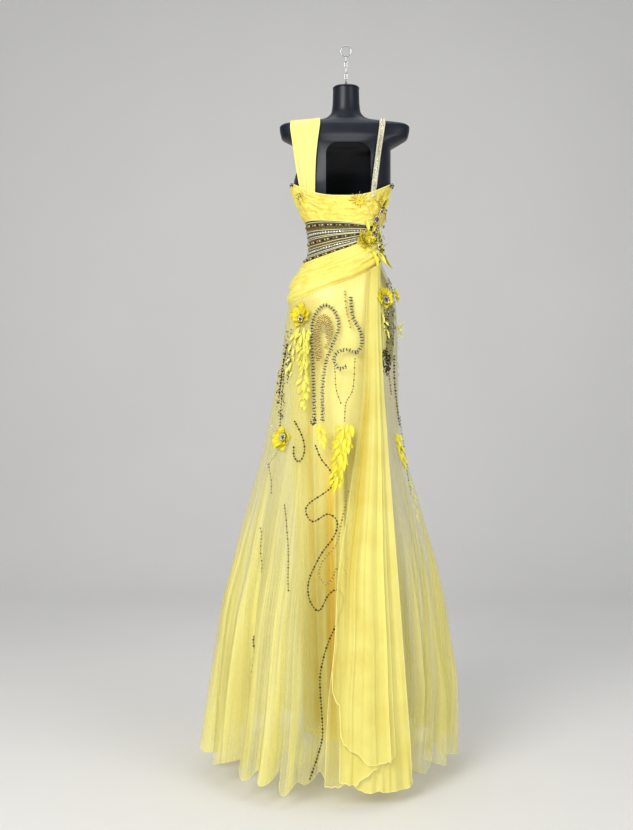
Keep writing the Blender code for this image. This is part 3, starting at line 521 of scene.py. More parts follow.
def turned(rings, sides, twist=0.0):
    """A small solid turned about Z: a ring of points for each radius and height, one point at radius 0."""
    points, loops = [], []
    for k, (radius, height) in enumerate(rings):
        count = sides if radius else 1
        loops.append([len(points) + j % count for j in range(sides + 1)])
        for j in range(count):
            turn = 2 * math.pi * (j + twist * (k % 2)) / sides
            points.append((radius * math.cos(turn), radius * math.sin(turn), height))
    faces = []
    for low, high in zip(loops[:-1], loops[1:]):
        for j in range(sides):
            corners = (low[j], low[j + 1], high[j + 1], high[j])
            faces.append(tuple(dict.fromkeys(corners)))
    if rings[0][0]:
        faces.append(tuple(loops[0][:sides])[::-1])
    if rings[-1][0]:
        faces.append(tuple(loops[-1][:sides]))
    return np.array(points), faces


BALL_RINGS = [(math.sin(math.pi * k / 4) if 0 < k < 4 else 0.0, -math.cos(math.pi * k / 4)) for k in range(5)]
BEAD = turned(BALL_RINGS, 7)
GEM = turned(((1.0, -0.35), (1.0, 0.05), (0.78, 0.38), (0.46, 0.55)), 10, 0.5)
TUBE_POINTS, TUBE_FACES = turned(((1.0, -1.0), (1.0, 1.0)), 6)
BUGLE = (np.roll(TUBE_POINTS, 1, axis=1), TUBE_FACES)  # a glass tube bead, turned to lie along X


class Value:
    """The output of a shader node; sums and products of such outputs make new nodes."""

    def __init__(self, tree, socket):
        self.tree, self.socket = tree, socket

    def calc(self, operation, first, second):
        node = self.tree.nodes.new("ShaderNodeMath")
        node.operation = operation
        for socket, value in zip(node.inputs, (first, second)):
            connect(self.tree, socket, value)
        return Value(self.tree, node.outputs[0])

    def __add__(self, other):
        return self.calc("ADD", self, other)

    def __radd__(self, other):
        return self.calc("ADD", other, self)

    def __sub__(self, other):
        return self.calc("SUBTRACT", self, other)

    def __rsub__(self, other):
        return self.calc("SUBTRACT", other, self)

    def __mul__(self, other):
        return self.calc("MULTIPLY", self, other)

    def kept_in_0_1(self):
        self.socket.node.use_clamp = True
        return self


def connect(tree, socket, value):
    """Links a value to a socket, or sets a number, a vector or a colour there."""
    if isinstance(value, Value):
        tree.links.new(value.socket, socket)
    elif socket.type == "RGBA":
        socket.default_value = (*value, 1.0)
    else:
        socket.default_value = value


class Look:
    """A material with its Principled shader. Spaces in the names of sockets are underscores here."""

    def __init__(self, name, **values):
        self.made = bpy.data.materials.new(name)
        self.made.use_nodes = True
        self.tree = self.made.node_tree
        self.shader = self.tree.nodes["Principled BSDF"]
        self.set(**values)

    def set(self, node=None, **values):
        for key, value in values.items():
            connect(self.tree, (node or self.shader).inputs[key.replace("_", " ")], value)

    def node(self, kind, output, settings=None, **values):
        made = self.tree.nodes.new(kind)
        for key, value in (settings or {}).items():
            setattr(made, key, value)
        self.set(made, **values)
        return Value(self.tree, made.outputs[output])

    def place(self, where):
        return self.node("ShaderNodeTexCoord", where)

    def noise(self, where, scale, detail=2.0, stretch=(1.0, 1.0, 1.0)):
        """Noise from 0 to 1 about 0.5, in metres of the cloth (UV) or of the object."""
        placed = self.node("ShaderNodeMapping", 0, Vector=self.place(where), Scale=stretch)
        return self.node("ShaderNodeTexNoise", "Fac", Vector=placed, Scale=scale, Detail=detail)

    def attribute(self, name):
        return self.node("ShaderNodeAttribute", "Fac", {"attribute_name": name})

    def colours(self, share, light, deep):
        """The colour of the surface, from light at a share of 0 to deep at 1."""
        node = self.tree.nodes.new("ShaderNodeMix")
        node.data_type = "RGBA"
        for socket, value in ((0, share), (6, light), (7, deep)):
            connect(self.tree, node.inputs[socket], value)
        self.set(Base_Color=Value(self.tree, node.outputs[2]))

    def bump(self, strength, distance, height, **others):
        return self.node("ShaderNodeBump", 0, Strength=strength, Distance=distance, Height=height, **others)


def cloth_material(
    name, light, deep, thread, rough, sheen, streak, grain, alpha=1.0, relief=0.25, crinkle=(40.0, 60.0, 0.0)
):
    """Woven cloth: tone that drifts and runs in streaks down it, threads of a real size, soft sheen.

    thread is the spacing of its threads in metres, streak and grain are shares of the deep colour.
    crinkle says how many puckers lie in a metre across and up, and how strong they are, both in relief and in
    the shade painted into their hollows.
    """
    look = Look(name, Roughness=rough, Sheen_Weight=sheen, Sheen_Roughness=0.4, Sheen_Tint=light)
    drift = look.noise("Object", 14.0, 4.0)
    runs = look.noise("UV", 1.0, 3.0, (240.0, 5.0, 1.0))
    across, up, strong = crinkle
    puckers = look.noise("UV", 1.0, 3.0, (across, up, 1.0))
    share = (drift - 0.42) * grain + (runs - 0.40) * streak
    # Painted shade: the colour deepens in the hollows of the puckers, and the fold attribute adds painted
    # shade in fold hollows and a painted highlight on ridges.
    share = share + ((0.50 - puckers) * (3.0 * strong) + look.attribute("painted_fold_shading"))
    look.colours(share.kept_in_0_1(), light, deep)
    turns = 2 * math.pi / thread / 20  # a wave texture has 20 radians in a unit
    bands = [
        look.node("ShaderNodeTexWave", "Fac", {"bands_direction": way}, Vector=look.place("UV"), Scale=turns)
        for way in ("X", "Y")
    ]
    weave = bands[0].calc("MAXIMUM", *bands)
    bump = look.bump(relief, 0.0006, weave * 0.4 + runs)
    if strong > 0:
        bump = look.bump(strong, 0.006, puckers, Normal=bump)
    look.set(Normal=bump)
    if alpha < 1.0:
        sheer = (alpha + (runs - 0.5) * 0.14) * look.attribute("net_weight")
        look.set(Alpha=sheer.kept_in_0_1())
    return look.made


def net_material(name, light, deep):
    """Tulle: sheer by its holes, denser where its folds turn away and along their threads."""
    look = Look(name, Roughness=0.75, Sheen_Weight=0.25, Sheen_Roughness=0.5, Sheen_Tint=light)
    runs = look.noise("UV", 1.0, 4.0, (190.0, 3.0, 1.0))
    drift = look.noise("Object", 7.0, 3.0)
    look.colours(((runs - 0.35) * 1.3).kept_in_0_1(), light, deep)
    edges = {"feature": "DISTANCE_TO_EDGE"}
    cells = look.node("ShaderNodeTexVoronoi", "Distance", edges, Vector=look.place("Object"), Scale=520.0)
    threads = (1.25 - cells * 1.6).kept_in_0_1()
    fine_runs = look.noise("UV", 1.0, 2.0, (430.0, 2.0, 1.0))
    change = runs * 1.2 + fine_runs * 0.9 - 0.12
    alpha = look.attribute("net_weight") * change * ((0.80 + drift * 0.40) * threads)
    look.set(Alpha=alpha.kept_in_0_1())
    return look.made


def bead_material(name, colour, metal, rough, coat=0.0):
    """Glass, foil or metal beads that differ a little from one to the next."""
    look = Look(name, Metallic=metal, Roughness=rough, Coat_Weight=coat)
    share = (look.noise("Object", 320.0, 1.0) - 0.35) * 2.4
    look.colours(share.kept_in_0_1(), colour, tuple(0.45 * value for value in colour))
    return look.made


def plastic_material(name):
    look = Look(name, Coat_Weight=0.08, Coat_Roughness=0.2, Specular_IOR_Level=0.32)
    tone = look.noise("Object", 22.0, 5.0)
    look.colours(tone, (0.003, 0.005, 0.010), (0.007, 0.011, 0.021))
    look.set(Roughness=0.32 + tone * 0.18, Normal=look.bump(0.05, 0.0004, look.noise("Object", 900.0, 2.0)))
    return look.made


def metal_material(name, colour, rough):
    look = Look(name, Metallic=1.0)
    tone = look.noise("Object", 260.0, 3.0)
    look.colours(tone, colour, tuple(0.62 * value for value in colour))
    look.set(Roughness=rough + tone * 0.2)
    return look.made


MATERIALS = {
    "chiffon": cloth_material(
        "ruched_chiffon", (0.97, 0.86, 0.16), (0.74, 0.45, 0.005), 0.0009, 0.62, 0.35, 0.4, 1.5,
        crinkle=(46.0, 120.0, 0.75),
    ),
    "sash": cloth_material(
        "sash_chiffon", (0.97, 0.88, 0.20), (0.80, 0.54, 0.02), 0.0009, 0.62, 0.35, 0.4, 1.4,
        crinkle=(24.0, 150.0, 0.60),
    ),
    "strap": cloth_material(
        "strap_chiffon", (0.98, 0.91, 0.30), (0.84, 0.62, 0.05), 0.0009, 0.62, 0.35, 0.6, 0.8,
        crinkle=(150.0, 8.0, 0.30),
    ),
    "train": cloth_material(
        "train_chiffon", (0.93, 0.84, 0.22), (0.78, 0.61, 0.07), 0.0009, 0.62, 0.4, 0.14, 1.3, alpha=0.86
    ),
    "satin": cloth_material(
        "lining_satin", (0.97, 0.89, 0.30), (0.90, 0.64, 0.08), 0.0006, 0.30, 0.1, 0.4, 1.1, relief=0.10
    ),
    "net": net_material("tulle", (0.94, 0.88, 0.34), (0.78, 0.69, 0.14)),
    "waist_net": net_material("waist_tulle", (0.24, 0.20, 0.08), (0.06, 0.05, 0.02)),
    "hem": cloth_material("rolled_hem", (0.98, 0.91, 0.34), (0.88, 0.72, 0.13), 0.0009, 0.5, 0.4, 0.2, 0.3),
    "silver": bead_material("silver_beads", (0.84, 0.84, 0.82), 0.75, 0.16),
    "pearl": bead_material("white_beads", (0.93, 0.90, 0.76), 0.10, 0.22, 0.6),
    "gold": bead_material("gold_beads", (0.74, 0.48, 0.08), 0.8, 0.25),
    "bronze": bead_material("dark_beads", (0.045, 0.035, 0.03), 0.6, 0.25),
    "cord": cloth_material("metal_cord", (0.88, 0.82, 0.50), (0.62, 0.52, 0.22), 0.0012, 0.3, 0.1, 0.3, 0.6),
    "gem": bead_material("violet_gems", (0.10, 0.05, 0.10), 0.4, 0.08, 1.0),
    "petal": cloth_material(
        "petal_chiffon", (0.95, 0.87, 0.06), (0.78, 0.62, 0.01), 0.0008, 0.5, 0.5, 0.8, 1.2
    ),
    "leaf": cloth_material(
        "leaf_chiffon", (0.90, 0.86, 0.15), (0.62, 0.58, 0.05), 0.0008, 0.5, 0.5, 0.8, 1.2
    ),
    "form": plastic_material("navy_plastic"),
    "steel": metal_material("plated_steel", (0.72, 0.72, 0.74), 0.14),
}


def cut_away(target, cutter):
    """Cuts one mesh out of another and keeps the result as plain mesh."""
    change = target.modifiers.new("cut", "BOOLEAN")
    change.operation, change.solver, change.object = "DIFFERENCE", "EXACT", cutter
    graph = bpy.context.evaluated_depsgraph_get()
    mesh = bpy.data.meshes.new_from_object(target.evaluated_get(graph))
    target.modifiers.clear()
    target.data = mesh
    bpy.data.objects.remove(cutter)


def arch_cutter():
    top, low = ARCH_TOP - HANG_HEIGHT - ARCH_CORNER, ARCH_FOOT - HANG_HEIGHT
    outline = [(-ARCH_HALF, low), (ARCH_HALF, low)]
    for side, start in ((1, 0.0), (-1, 90.0)):
        for turn in np.radians(np.linspace(start, start + 90, 13)):
            bend = side * (ARCH_HALF - ARCH_CORNER)
            outline.append((bend + ARCH_CORNER * math.cos(turn), top + ARCH_CORNER * math.sin(turn)))
    points = [(ARCH_CENTRE + x, y, z) for y in ARCH_DEPTH for x, z in outline]
    count = len(outline)
    faces = [tuple(range(count))[::-1], tuple(range(count, 2 * count))]
    faces += [(i, (i + 1) % count, count + (i + 1) % count, count + i) for i in range(count)]
    made = mesh_object("arch_cutter", points, faces, [], smooth=False)
    shape = bmesh.new()
    shape.from_mesh(made.data)
    bmesh.ops.recalc_face_normals(shape, faces=shape.faces)
    shape.to_mesh(made.data)
    shape.free()
    return made


def make_form():
    """The smooth hollow torso, open below and in the upper back."""
    known = [row[0] for row in BODY]
    steps = [np.linspace(a, b, 5, endpoint=False) for a, b in zip(known[:-1], known[1:])]
    heights = np.concatenate([*steps, [NECK_TOP]])
    outer = section(BODY, np.linspace(0, 360, 97)[None, :-1], heights[:, None], -FORM_CLEAR)
    inner = outer - FORM_WALL * grid_normals(outer, closed=True)
    inner[0, :, 2], inner[-1, :, 2] = outer[0, :, 2], outer[-1, :, 2]
    wall = np.concatenate([outer, inner[::-1]])
    rows, columns = wall.shape[:2]
    faces = grid_faces(rows + 1, columns, closed=True) % (rows * columns)
    made = mesh_object("fine_form", wall, faces.tolist(), [MATERIALS["form"]])
    cut_away(made, arch_cutter())
    made.data.set_sharp_from_angle(angle=math.radians(40))
    piece(made, ["torso_form"])


def make_chain():
    """Cap of the neck, eye, links and the held ring."""
    x_way, y_way = np.array([1.0, 0, 0]), np.array([0, 1.0, 0])
    turn = 2 * np.pi * np.arange(48)[:, None] / 48

    def ring(radius, middle, along):
        return along * radius * np.sin(turn) + UP * (middle + radius * np.cos(turn))

    def link(middle, along):
        bend = (LINK_WIDTH - 2 * LINK_WIRE) / 2
        straight = LINK_HEIGHT / 2 - bend
        half = np.pi * np.arange(13)[:, None] / 12
        ends = [
            along * bend * np.cos(half) * end + UP * (middle + end * (straight + bend * np.sin(half)))
            for end in (1, -1)
        ]
        return np.concatenate(ends)

    def wire(name, path, radius, across):
        pile = Pile()
        pile.tube(path, radius, across, sides=12, closed=True)
        pile.piece(f"fine_{name}", ["steel"], "steel", [name])

    middle = RING_WIRE - RING_RADIUS
    wire("top_ring", ring(RING_RADIUS, middle, x_way), RING_WIRE, y_way)
    top = middle - RING_RADIUS + RING_WIRE + LINK_WIRE + SEAM
    for k in range(LINK_COUNT):
        along, across = (y_way, x_way) if k % 2 == 0 else (x_way, y_way)
        wire(f"chain_link_{k + 1}", link(top - LINK_HEIGHT / 2, along), LINK_WIRE, across)
        bottom = top - LINK_HEIGHT
        top = bottom + 2 * LINK_WIRE + SEAM
    eye_middle = bottom + LINK_WIRE + EYE_WIRE + SEAM - EYE_RADIUS
    wire("chain_eye", ring(EYE_RADIUS, eye_middle, y_way), EYE_WIRE, x_way)
    post_top = eye_middle - EYE_RADIUS - EYE_WIRE - SEAM
    cap_top, neck = CAP_TOP - HANG_HEIGHT, NECK_TOP + SEAM - HANG_HEIGHT
    profile = np.array((
        (0.0, neck), (CAP_RADIUS - CAP_EDGE, neck), (CAP_RADIUS, neck + CAP_EDGE),
        (CAP_RADIUS, cap_top - CAP_EDGE), (CAP_RADIUS - CAP_EDGE, cap_top), (0.006, cap_top),
        (CAP_POST, cap_top + 0.001), (0.8 * CAP_POST, post_top), (0.0, post_top),
    ))
    pile = Pile()
    radii, heights = profile[:, :1], profile[:, 1:]
    rows = np.broadcast_arrays(radii * np.cos(turn.T), radii * np.sin(turn.T), heights)
    pile.grid(np.stack(rows, axis=-1), closed=True)
    made = pile.piece("fine_neck_cap", ["form"], "form", ["neck_cap"])
    made.data.set_sharp_from_angle(angle=math.radians(35))


def sheet_uv(angles, heights, girth=0.22):
    """Metres across and up for each point of a sheet on the body."""
    return np.stack(np.broadcast_arrays(np.radians(angles) * girth, heights), axis=-1)


# Creases of the band. Columns: angle, level, lean, half width, half length in degrees, how far out
BAND_CREASES = scaled((1, 100, 1000, 1000, 1, 10000), (
    (192, 34, 4, 60, 12, -20), (203, 66, 3, 50, 16, -19), (214, 26, 3, 55, 17, -24),
    (222, 50, -2, 45, 14, -18), (233, 76, -2, 50, 20, -22), (243, 38, -1, 55, 18, -25),
    (252, 60, 2, 45, 15, -20), (262, 20, 1, 50, 20, -21), (270, 82, -1, 45, 18, -18),
    (278, 46, 4, 50, 13, -23), (290, 30, -3, 50, 15, -22), (298, 68, 3, 50, 14, -22),
    (309, 48, -4, 55, 12, -21), (322, 26, 3, 60, 14, -20), (331, 70, -2, 55, 17, -22),
    (347, 46, 2, 60, 15, -20),
))
# Creases of the sash fan out from the knot at the right. The same columns
SASH_CREASES = scaled((1, 100, 1000, 1000, 1, 10000), (
    (330, 50, 0, 70, 30, -30), (318, 28, 1, 50, 26, -26), (312, 74, -1, 50, 28, -26),
    (296, 42, 2, 45, 26, -28), (288, 62, 1, 40, 30, -24), (276, 20, 2, 50, 28, -30),
    (268, 84, -1, 40, 30, -22), (258, 52, 2, 45, 24, -26), (246, 33, 1, 45, 26, -26),
    (236, 70, -1, 50, 24, -28), (222, 16, 1, 50, 22, -24), (214, 50, -2, 50, 22, -26),
    (202, 82, -1, 45, 20, -22), (194, 34, 2, 55, 20, -26),
))


def around(table, turn):
    """The same creases, turned round to the other half of the body and mirrored."""
    return [(turn - row[0], row[1], -row[2], *row[3:]) for row in table]


BAND_CREASES += around(BAND_CREASES, 371)
SASH_CREASES += around(SASH_CREASES, 366)

BAND_FULLNESS = 0.0055  # how much fuller the band is at its left side
BAND_FULL_ANGLE = 188
BAND_FULL_SPREAD = 26
SASH_TURN = 0.0060  # how far the sash turns in at its lower edge


def edge_fade(share, power):
    return np.sin(np.pi * np.clip(share, 0.0, 1.0)) ** power


def band_relief(angle, share):
    """Gathers that run round the bust band and die out at its edges."""
    fine = 0.0017 * uneven(angle, share, 54, 9, 11) + 0.0010 * uneven(angle, share, 150, 17, 12)
    full = BAND_FULLNESS * bell(apart(angle, BAND_FULL_ANGLE), 0, BAND_FULL_SPREAD)
    return 0.0024 + edge_fade(share, 0.5) * (
        0.0018 + full + 1.15 * fine + 1.6 * troughs(BAND_CREASES, angle, share)
    )


def sash_relief(angle, share):
    folds = wave(4 * share + 0.12 * np.sin(np.radians(angle)))
    fine = 0.0008 * uneven(angle, share, 26, 11, 21) + 0.0004 * uneven(angle, share, 90, 24, 22)
    turned_in = SASH_TURN * (1 - smoothstep(share / 0.10))
    return 0.0018 - turned_in + edge_fade(share, 0.6) * (
        0.0028 + 0.0020 * folds + fine + 1.3 * troughs(SASH_CREASES, angle, share)
    )


WAIST_RELIEF = 0.0008
WAIST_DENSITY = 0.62
BODICE_GIRTH = 0.13


def bodice_halves(
    name, solid, surface, relief, grid, tall, material, slot, density=None, radii=(), edging=""
):
    """The back and the front of a sheet of the bodice, with a cord of each radius along its edges."""
    columns, rows = grid
    for side, start in (("back", 180.0), ("front", 0.0)):
        angle, share = np.linspace(start, start + 180, columns)[None], np.linspace(0, 1, rows)[:, None]
        points = surface(angle, share, relief(angle, share))
        weight = None if density is None else np.full(points.shape[:2], density)
        uv = sheet_uv(angle, share * tall, BODICE_GIRTH)
        piece(grid_object(f"fine_{name}_{side}", points, material, uv, weight), [f"{solid}_{side}"])
        if radii:
            edges = Pile()
            for row, radius in zip((0, -1), radii):
                edges.tube(points[row], radius, UP)
            edges.piece(f"{name}_edges_{side}", [edging], slot)


def make_band():
    bodice_halves(
        "band", "bust_band", band_surface, band_relief, (221, 61), 0.075, "chiffon", "chiffon",
        radii=(0.0013, 0.0016), edging="hem",
    )


def make_waist():
    bodice_halves(
        "waist", "waist", waist_surface, lambda angle, share: WAIST_RELIEF, (121, 25), 0.07, "waist_net",
        "beaded_net", WAIST_DENSITY,
    )


def make_sash():
    bodice_halves(
        "sash", "hip_sash", sash_surface, sash_relief, (241, 61), 0.09, "sash", "chiffon",
        radii=(0.0008, 0.0013), edging="sash",
    )


STRAP_TRIES = (0.0, 0.03, 0.06)  # how far a ray that misses a strap moves to its middle
STRAP_TURNS = np.radians(np.linspace(-150, 112, 900))  # the rays' turns back and front from straight up
STRAP_CENTRE = 1.56  # the height that they turn about
STRAP_REACH = 0.5


def strap_rows(node, tables, shares, count):
    """Rows of points on the outside of a strap's solid, from its foot at the back to the front."""
    solid = NODES[node].data
    tree = BVHTree.FromPolygons([v.co for v in solid.vertices], [p.vertices[:] for p in solid.polygons])
    columns = []
    for share in shares:
        line = []
        height = 1.50
        for turn in STRAP_TURNS:
            way = np.array([0.0, math.sin(turn), math.cos(turn)])
            hit = None
            for _ in range(3):
                left, right = eased(tables[0] if turn < 0 else tables[1], height)
                for nearer in STRAP_TRIES:
                    x = float(left + (right - left) * (share + nearer * (0.5 - share)))
                    start = np.array([x, 0.0, STRAP_CENTRE - HANG_HEIGHT]) + way * STRAP_REACH
                    found = tree.ray_cast(Vector(start), Vector(-way), STRAP_REACH)[0]
                    if found is not None:
                        break
                if found is None:
                    break
                hit, height = found, found.z + HANG_HEIGHT
            if hit is not None:
                line.append(tuple(hit))
        line = np.array(line)
        for _ in range(30):
            line[1:-1] = (line[:-2] + 2 * line[1:-1] + line[2:]) / 4
        places = path_places(line)
        columns.append(at_places(line, places, np.linspace(0, places[-1], count)))
    return np.array(columns).transpose(1, 0, 2)


# Gathers of the wide strap. Columns: share along, share across, lean, half width, half length, how far out
STRAP_CREASES = scaled((100, 100, 100, 1000, 100, 10000), (
    (2, 14, 10, 40, 16, -20), (0, 27, 5, 30, 22, 10), (0, 38, 5, 35, 20, -22), (0, 50, 0, 30, 15, 10),
    (0, 60, -8, 40, 17, -20), (2, 74, -5, 35, 22, -20), (3, 88, -10, 35, 14, -18), (98, 22, 0, 50, 18, -16),
    (100, 44, 8, 45, 14, -18), (100, 62, 0, 50, 20, -16), (98, 82, 6, 45, 15, -16),
    (22, 46, 10, 120, 18, -10), (30, 72, -6, 70, 14, -7),
))
TUCK = (0.016, 0.008)  # how far down behind the band the rows of a strap's foot lie
STRAP_LENGTH = 0.52
WIDE_WIDTH, WIDE_ROWS, WIDE_COLUMNS = 0.06, 180, 33
BEADED_WIDTH, BEADED_ROWS, BEADED_COLUMNS = 0.014, 122, 7
# Rows of beads on the beaded strap. Columns: column, shape, material, radius
STRAP_STONES = (
    (0, BEAD, "pearl", 0.0016), (2, GEM, "silver", 0.0021), (4, GEM, "silver", 0.0021),
    (6, BEAD, "pearl", 0.0016),
)


def tucked(points):
    """The same rows with both feet led down behind the edge of the band."""
    out = grid_normals(points)
    head = [points[0] + step * (-UP - 0.06 * out[0]) for step in TUCK]
    tail = [points[-1] + step * (-UP - 0.06 * out[-1]) for step in TUCK[::-1]]
    return np.concatenate([head, points, tail])


def strap_uv(points, width):
    across = np.linspace(0, width, points.shape[1])[None]
    along = np.linspace(0, STRAP_LENGTH, len(points))[:, None]
    return np.stack(np.broadcast_arrays(across, along), axis=-1)


def make_straps():
    points = strap_rows("strap_wide", WIDE_STRAP, np.linspace(0.015, 0.985, WIDE_COLUMNS), WIDE_ROWS)
    along, across = np.linspace(0, 1, WIDE_ROWS)[:, None], np.linspace(0, 1, WIDE_COLUMNS)[None]
    relief = troughs(STRAP_CREASES, along, across) - 0.0002
    points = tucked(points + grid_normals(points) * relief[..., None])
    made = grid_object("fine_strap_wide", points, "strap", strap_uv(points, WIDE_WIDTH))
    piece(made, ["strap_wide"])
    edges = Pile()
    for column in (0, -1):
        edges.tube(points[:, column], 0.0011, (1, 0, 0))
    edges.piece("strap_wide_edges", ["hem"], "chiffon")

    shares = np.linspace(0.03, 0.97, BEADED_COLUMNS)
    points = tucked(strap_rows("strap_beaded", BEAD_STRAP, shares, BEADED_ROWS))
    made = grid_object("fine_strap_beaded", points, "hem", strap_uv(points, BEADED_WIDTH))
    piece(made, ["strap_beaded"])
    out = grid_normals(points)
    stones = Pile()
    for column, shape, kind, size in STRAP_STONES:
        line, away = points[:, column], out[:, column]
        stones.scatter(shape, line + away * 0.0006, np.gradient(line, axis=0), away, size, kind)
    stones.piece("strap_stones", ["silver", "pearl"], "beads", smooth=False)


# Columns: angle round the skirt, how dense the outer net is there, how dense the under net is
NET_DENSITY = scaled((1, 100, 100), (
    (190, 42, 36), (205, 48, 40), (225, 52, 42), (236, 48, 38), (242, 38, 30), (247, 12, 10), (256, 6, 5),
    (292, 6, 5), (306, 16, 14), (330, 28, 22), (360, 30, 24), (430, 42, 32), (480, 44, 34), (520, 42, 34),
    (550, 42, 36),
))
# Lower down the dense net reaches further round to the back: how many degrees, about which angle
DENSE_TURN = 9.0
DENSE_TURN_LOW = 4.0  # as much again close to the floor
DENSE_ANGLE = 250
DENSE_SPREAD = 14
HEM_DENSITY = 0.34  # the nets are at least this dense close to their hems
HEM_DENSITY_TOP = 0.19
HIP_STRIP = 0.55  # how much denser they are in a strip right of the train, at the hip
HIP_STRIP_ANGLE = 313
HIP_STRIP_SPREAD = 5.5
# Pleats of the outer net. Columns: middle height, angle, lean in degrees a metre, half width in
# degrees, half length in metres, how far out
NET_PLEATS = scaled((100, 10, 1, 10, 100, 1000), (
    (10, 1950, 3, 16, 40, 10), (0, 2005, -2, 14, 50, -12), (30, 2035, 2, 12, 45, 8), (0, 2110, 4, 18, 60, 14),
    (15, 2155, 0, 13, 45, -10), (0, 2240, -4, 16, 55, 12), (30, 2280, 3, 11, 50, -7), (5, 2365, 2, 12, 50, 9),
    (0, 2390, -3, 10, 40, -9), (20, 2440, 2, 11, 50, 8), (0, 2475, 0, 12, 45, -10), (10, 2530, -3, 12, 50, 9),
    (0, 2560, 2, 10, 35, -8), (25, 2620, -2, 10, 45, 6), (0, 2650, 3, 12, 40, 9), (0, 3050, -3, 11, 45, 8),
    (10, 3125, 2, 14, 50, -9), (0, 3160, -2, 13, 55, 11), (20, 3240, 3, 15, 50, 9),
    (0, 3290, -3, 13, 45, -11), (10, 3380, 2, 16, 55, 12), (0, 3440, -2, 13, 40, -9),
    (5, 3560, 3, 17, 50, 11), (10, 3620, -3, 14, 45, -10),
))
NET_PLEATS += [(row[0], row[1] + 178, -row[2], *row[3:]) for row in NET_PLEATS[:21]]
PETAL_TOP = 0.34  # the folds that end in petals start at this height
PETAL_DEPTH = 0.012
PETAL_RISE = 0.012  # how far a net's hem rises between two petal-like folds
# Where the folds turn away at the hem. It rises there, so that round lobes are left between
HEM_NOTCHES = (
    190.5, 205.5, 219, 229, 239, 248.3, 257, 266, 285, 303, 311, 325, 341, 356, 371, 383, 396, 408, 421, 434,
    447, 460, 472, 485, 497, 508, 518, 527, 535, 543,
)
NOTCH_RISE = 0.028
NOTCH_SPREAD = 2.6
HEM_DROP = 0.026  # how much lower the outer net's longest lobes hang, left of the train
HEM_DROP_ANGLE = 253
HEM_DROP_SPREAD = 5
HEM_ROUNDING = 0.40  # how far a hem rises into a valley, as a share of the valley's depth
# Folds of the satin, in the columns of the net's pleats
LINING_FOLDS = scaled((100, 1, 1, 10, 100, 10000), (
    (40, 240, 1, 24, 55, 90), (40, 271, -1, 22, 60, 85), (35, 255, 1, 45, 45, -80), (60, 230, 2, 30, 45, -50),
    (30, 284, 0, 34, 40, -60), (20, 248, 2, 18, 25, 45), (55, 263, 0, 16, 40, 40), (15, 236, -2, 16, 20, -40),
    (45, 212, 2, 40, 45, 50), (50, 188, 0, 40, 45, -50), (45, 160, 1, 40, 50, 50), (40, 132, -2, 40, 45, -50),
    (50, 108, 1, 40, 50, 55), (40, 82, 0, 40, 40, -50), (45, 58, 2, 40, 45, 50), (35, 300, -1, 30, 40, 45),
))
LINING_RISE = 0.0030  # how far the satin comes out to meet the sash
LINING_RISE_REACH = 0.06
# Fine folds that the sash draws over the top of the satin, in the same columns
SASH_DRAWS = scaled((1000, 1, 1, 10, 1000, 10000), (
    (1215, 254, 420, 22, 30, -22), (1222, 266, 380, 18, 34, -24), (1205, 272, 300, 20, 36, -18),
    (1190, 278, 210, 22, 40, -20),
))
LINING_HOLLOW_SHADE = 0.55  # painted shade: how much deeper the satin's colour is in the broad hollow left of the train
LINING_HOLLOW_SHADE_ANGLE = 258
LINING_HOLLOW_SHADE_SPREAD = 7
LINING_FOLD_SHADING = 90.0  # painted shade and highlight: how much deeper the satin's colour is for each metre that a fold goes in, and lighter for each metre that it comes out
SKIRT_RISE = 1.3  # the unevenness of the folds runs up the skirt to this height


def petal_gaps(angle):
    """1 where two rounded folds of a net meet at its hem, falling to 0 in their middles."""
    return (1 - np.abs(uneven(angle, 0.3, 52, 1, 53))) ** 1.6


def net_folds(angle, height):
    """Folds finer than the flutes, growing from the hips to the hem."""
    petals = -PETAL_DEPTH * petal_gaps(angle) ** 2 * below(height, PETAL_TOP, PETAL_TOP)
    grow = below(height, 1.00, 0.90)
    drift, up = angle + 2.0 * np.sin(2.6 * height + angle / 31), 1 - height / SKIRT_RISE
    fine = 0.0100 * uneven(drift, up, 64, 3, 31) + 0.0085 * uneven(drift, up, 170, 3, 32)
    pleats = 1.2 * grow**0.5 * troughs(NET_PLEATS, height, angle)
    return (petals + grow * fine + pleats) * (1 - 0.75 * under_train(angle))


def net_surface(angle, height):
    """The outside of the outer net."""
    dip = flute_dip(NET_FLUTES, angle, height) + train_hollow(angle, height)
    return section(NET_TABLE, angle, height, NET_OFF - dip + net_folds(angle, height))


def under_net_surface(angle, height):
    dip = flute_dip(UNDER_FLUTES, angle, height) + train_hollow(angle, height)
    dip = dip + UNDER_NET_INSIDE * below(height, UNDER_NET_TOP, UNDER_NET_TOP)
    up = 1 - height / SKIRT_RISE
    fine = 0.010 * uneven(angle, up, 58, 3, 41) + 0.004 * uneven(angle, up, 140, 3, 42)
    return section(NET_TABLE, angle, height, UNDER_NET_OFF - dip + below(height, 0.95, 0.95) * fine)


def lining_folds(angle, height):
    return below(height, 1.10, 0.5) * troughs(LINING_FOLDS, height, angle)


def lining_surface(angle, height):
    near_sash = smoothstep((height - edge_height(SASH_BOTTOM, angle) + LINING_RISE_REACH) / LINING_RISE_REACH)
    off = LINING_OFF - flute_dip(LINING_FLUTES, angle, height) + 1.35 * lining_folds(angle, height)
    off = off + LINING_RISE * near_sash + troughs(SASH_DRAWS, height, angle)
    return section(LINING_TABLE, angle, height, off)


# Painted shade and highlight: the satin's colour deepens in its fold hollows and in the broad hollow left of
# the train, and lightens on its ridges.
def lining_painted_shading(angle, height):
    gold = LINING_HOLLOW_SHADE * bell(angle, LINING_HOLLOW_SHADE_ANGLE, LINING_HOLLOW_SHADE_SPREAD)
    return np.clip(-LINING_FOLD_SHADING * lining_folds(angle, height), -0.5, 0.5) + gold * below(height, 0.95, 0.3)


def flute_middles(flutes, first, last):
    """The angles of the valleys before one flute and after another."""
    count = len(flutes)
    ridges = [flutes[k % count][0] + 360 * (k // count) for k in range(count + 2)]
    return (ridges[first] + ridges[first + 1]) / 2, (ridges[last] + ridges[last + 1]) / 2


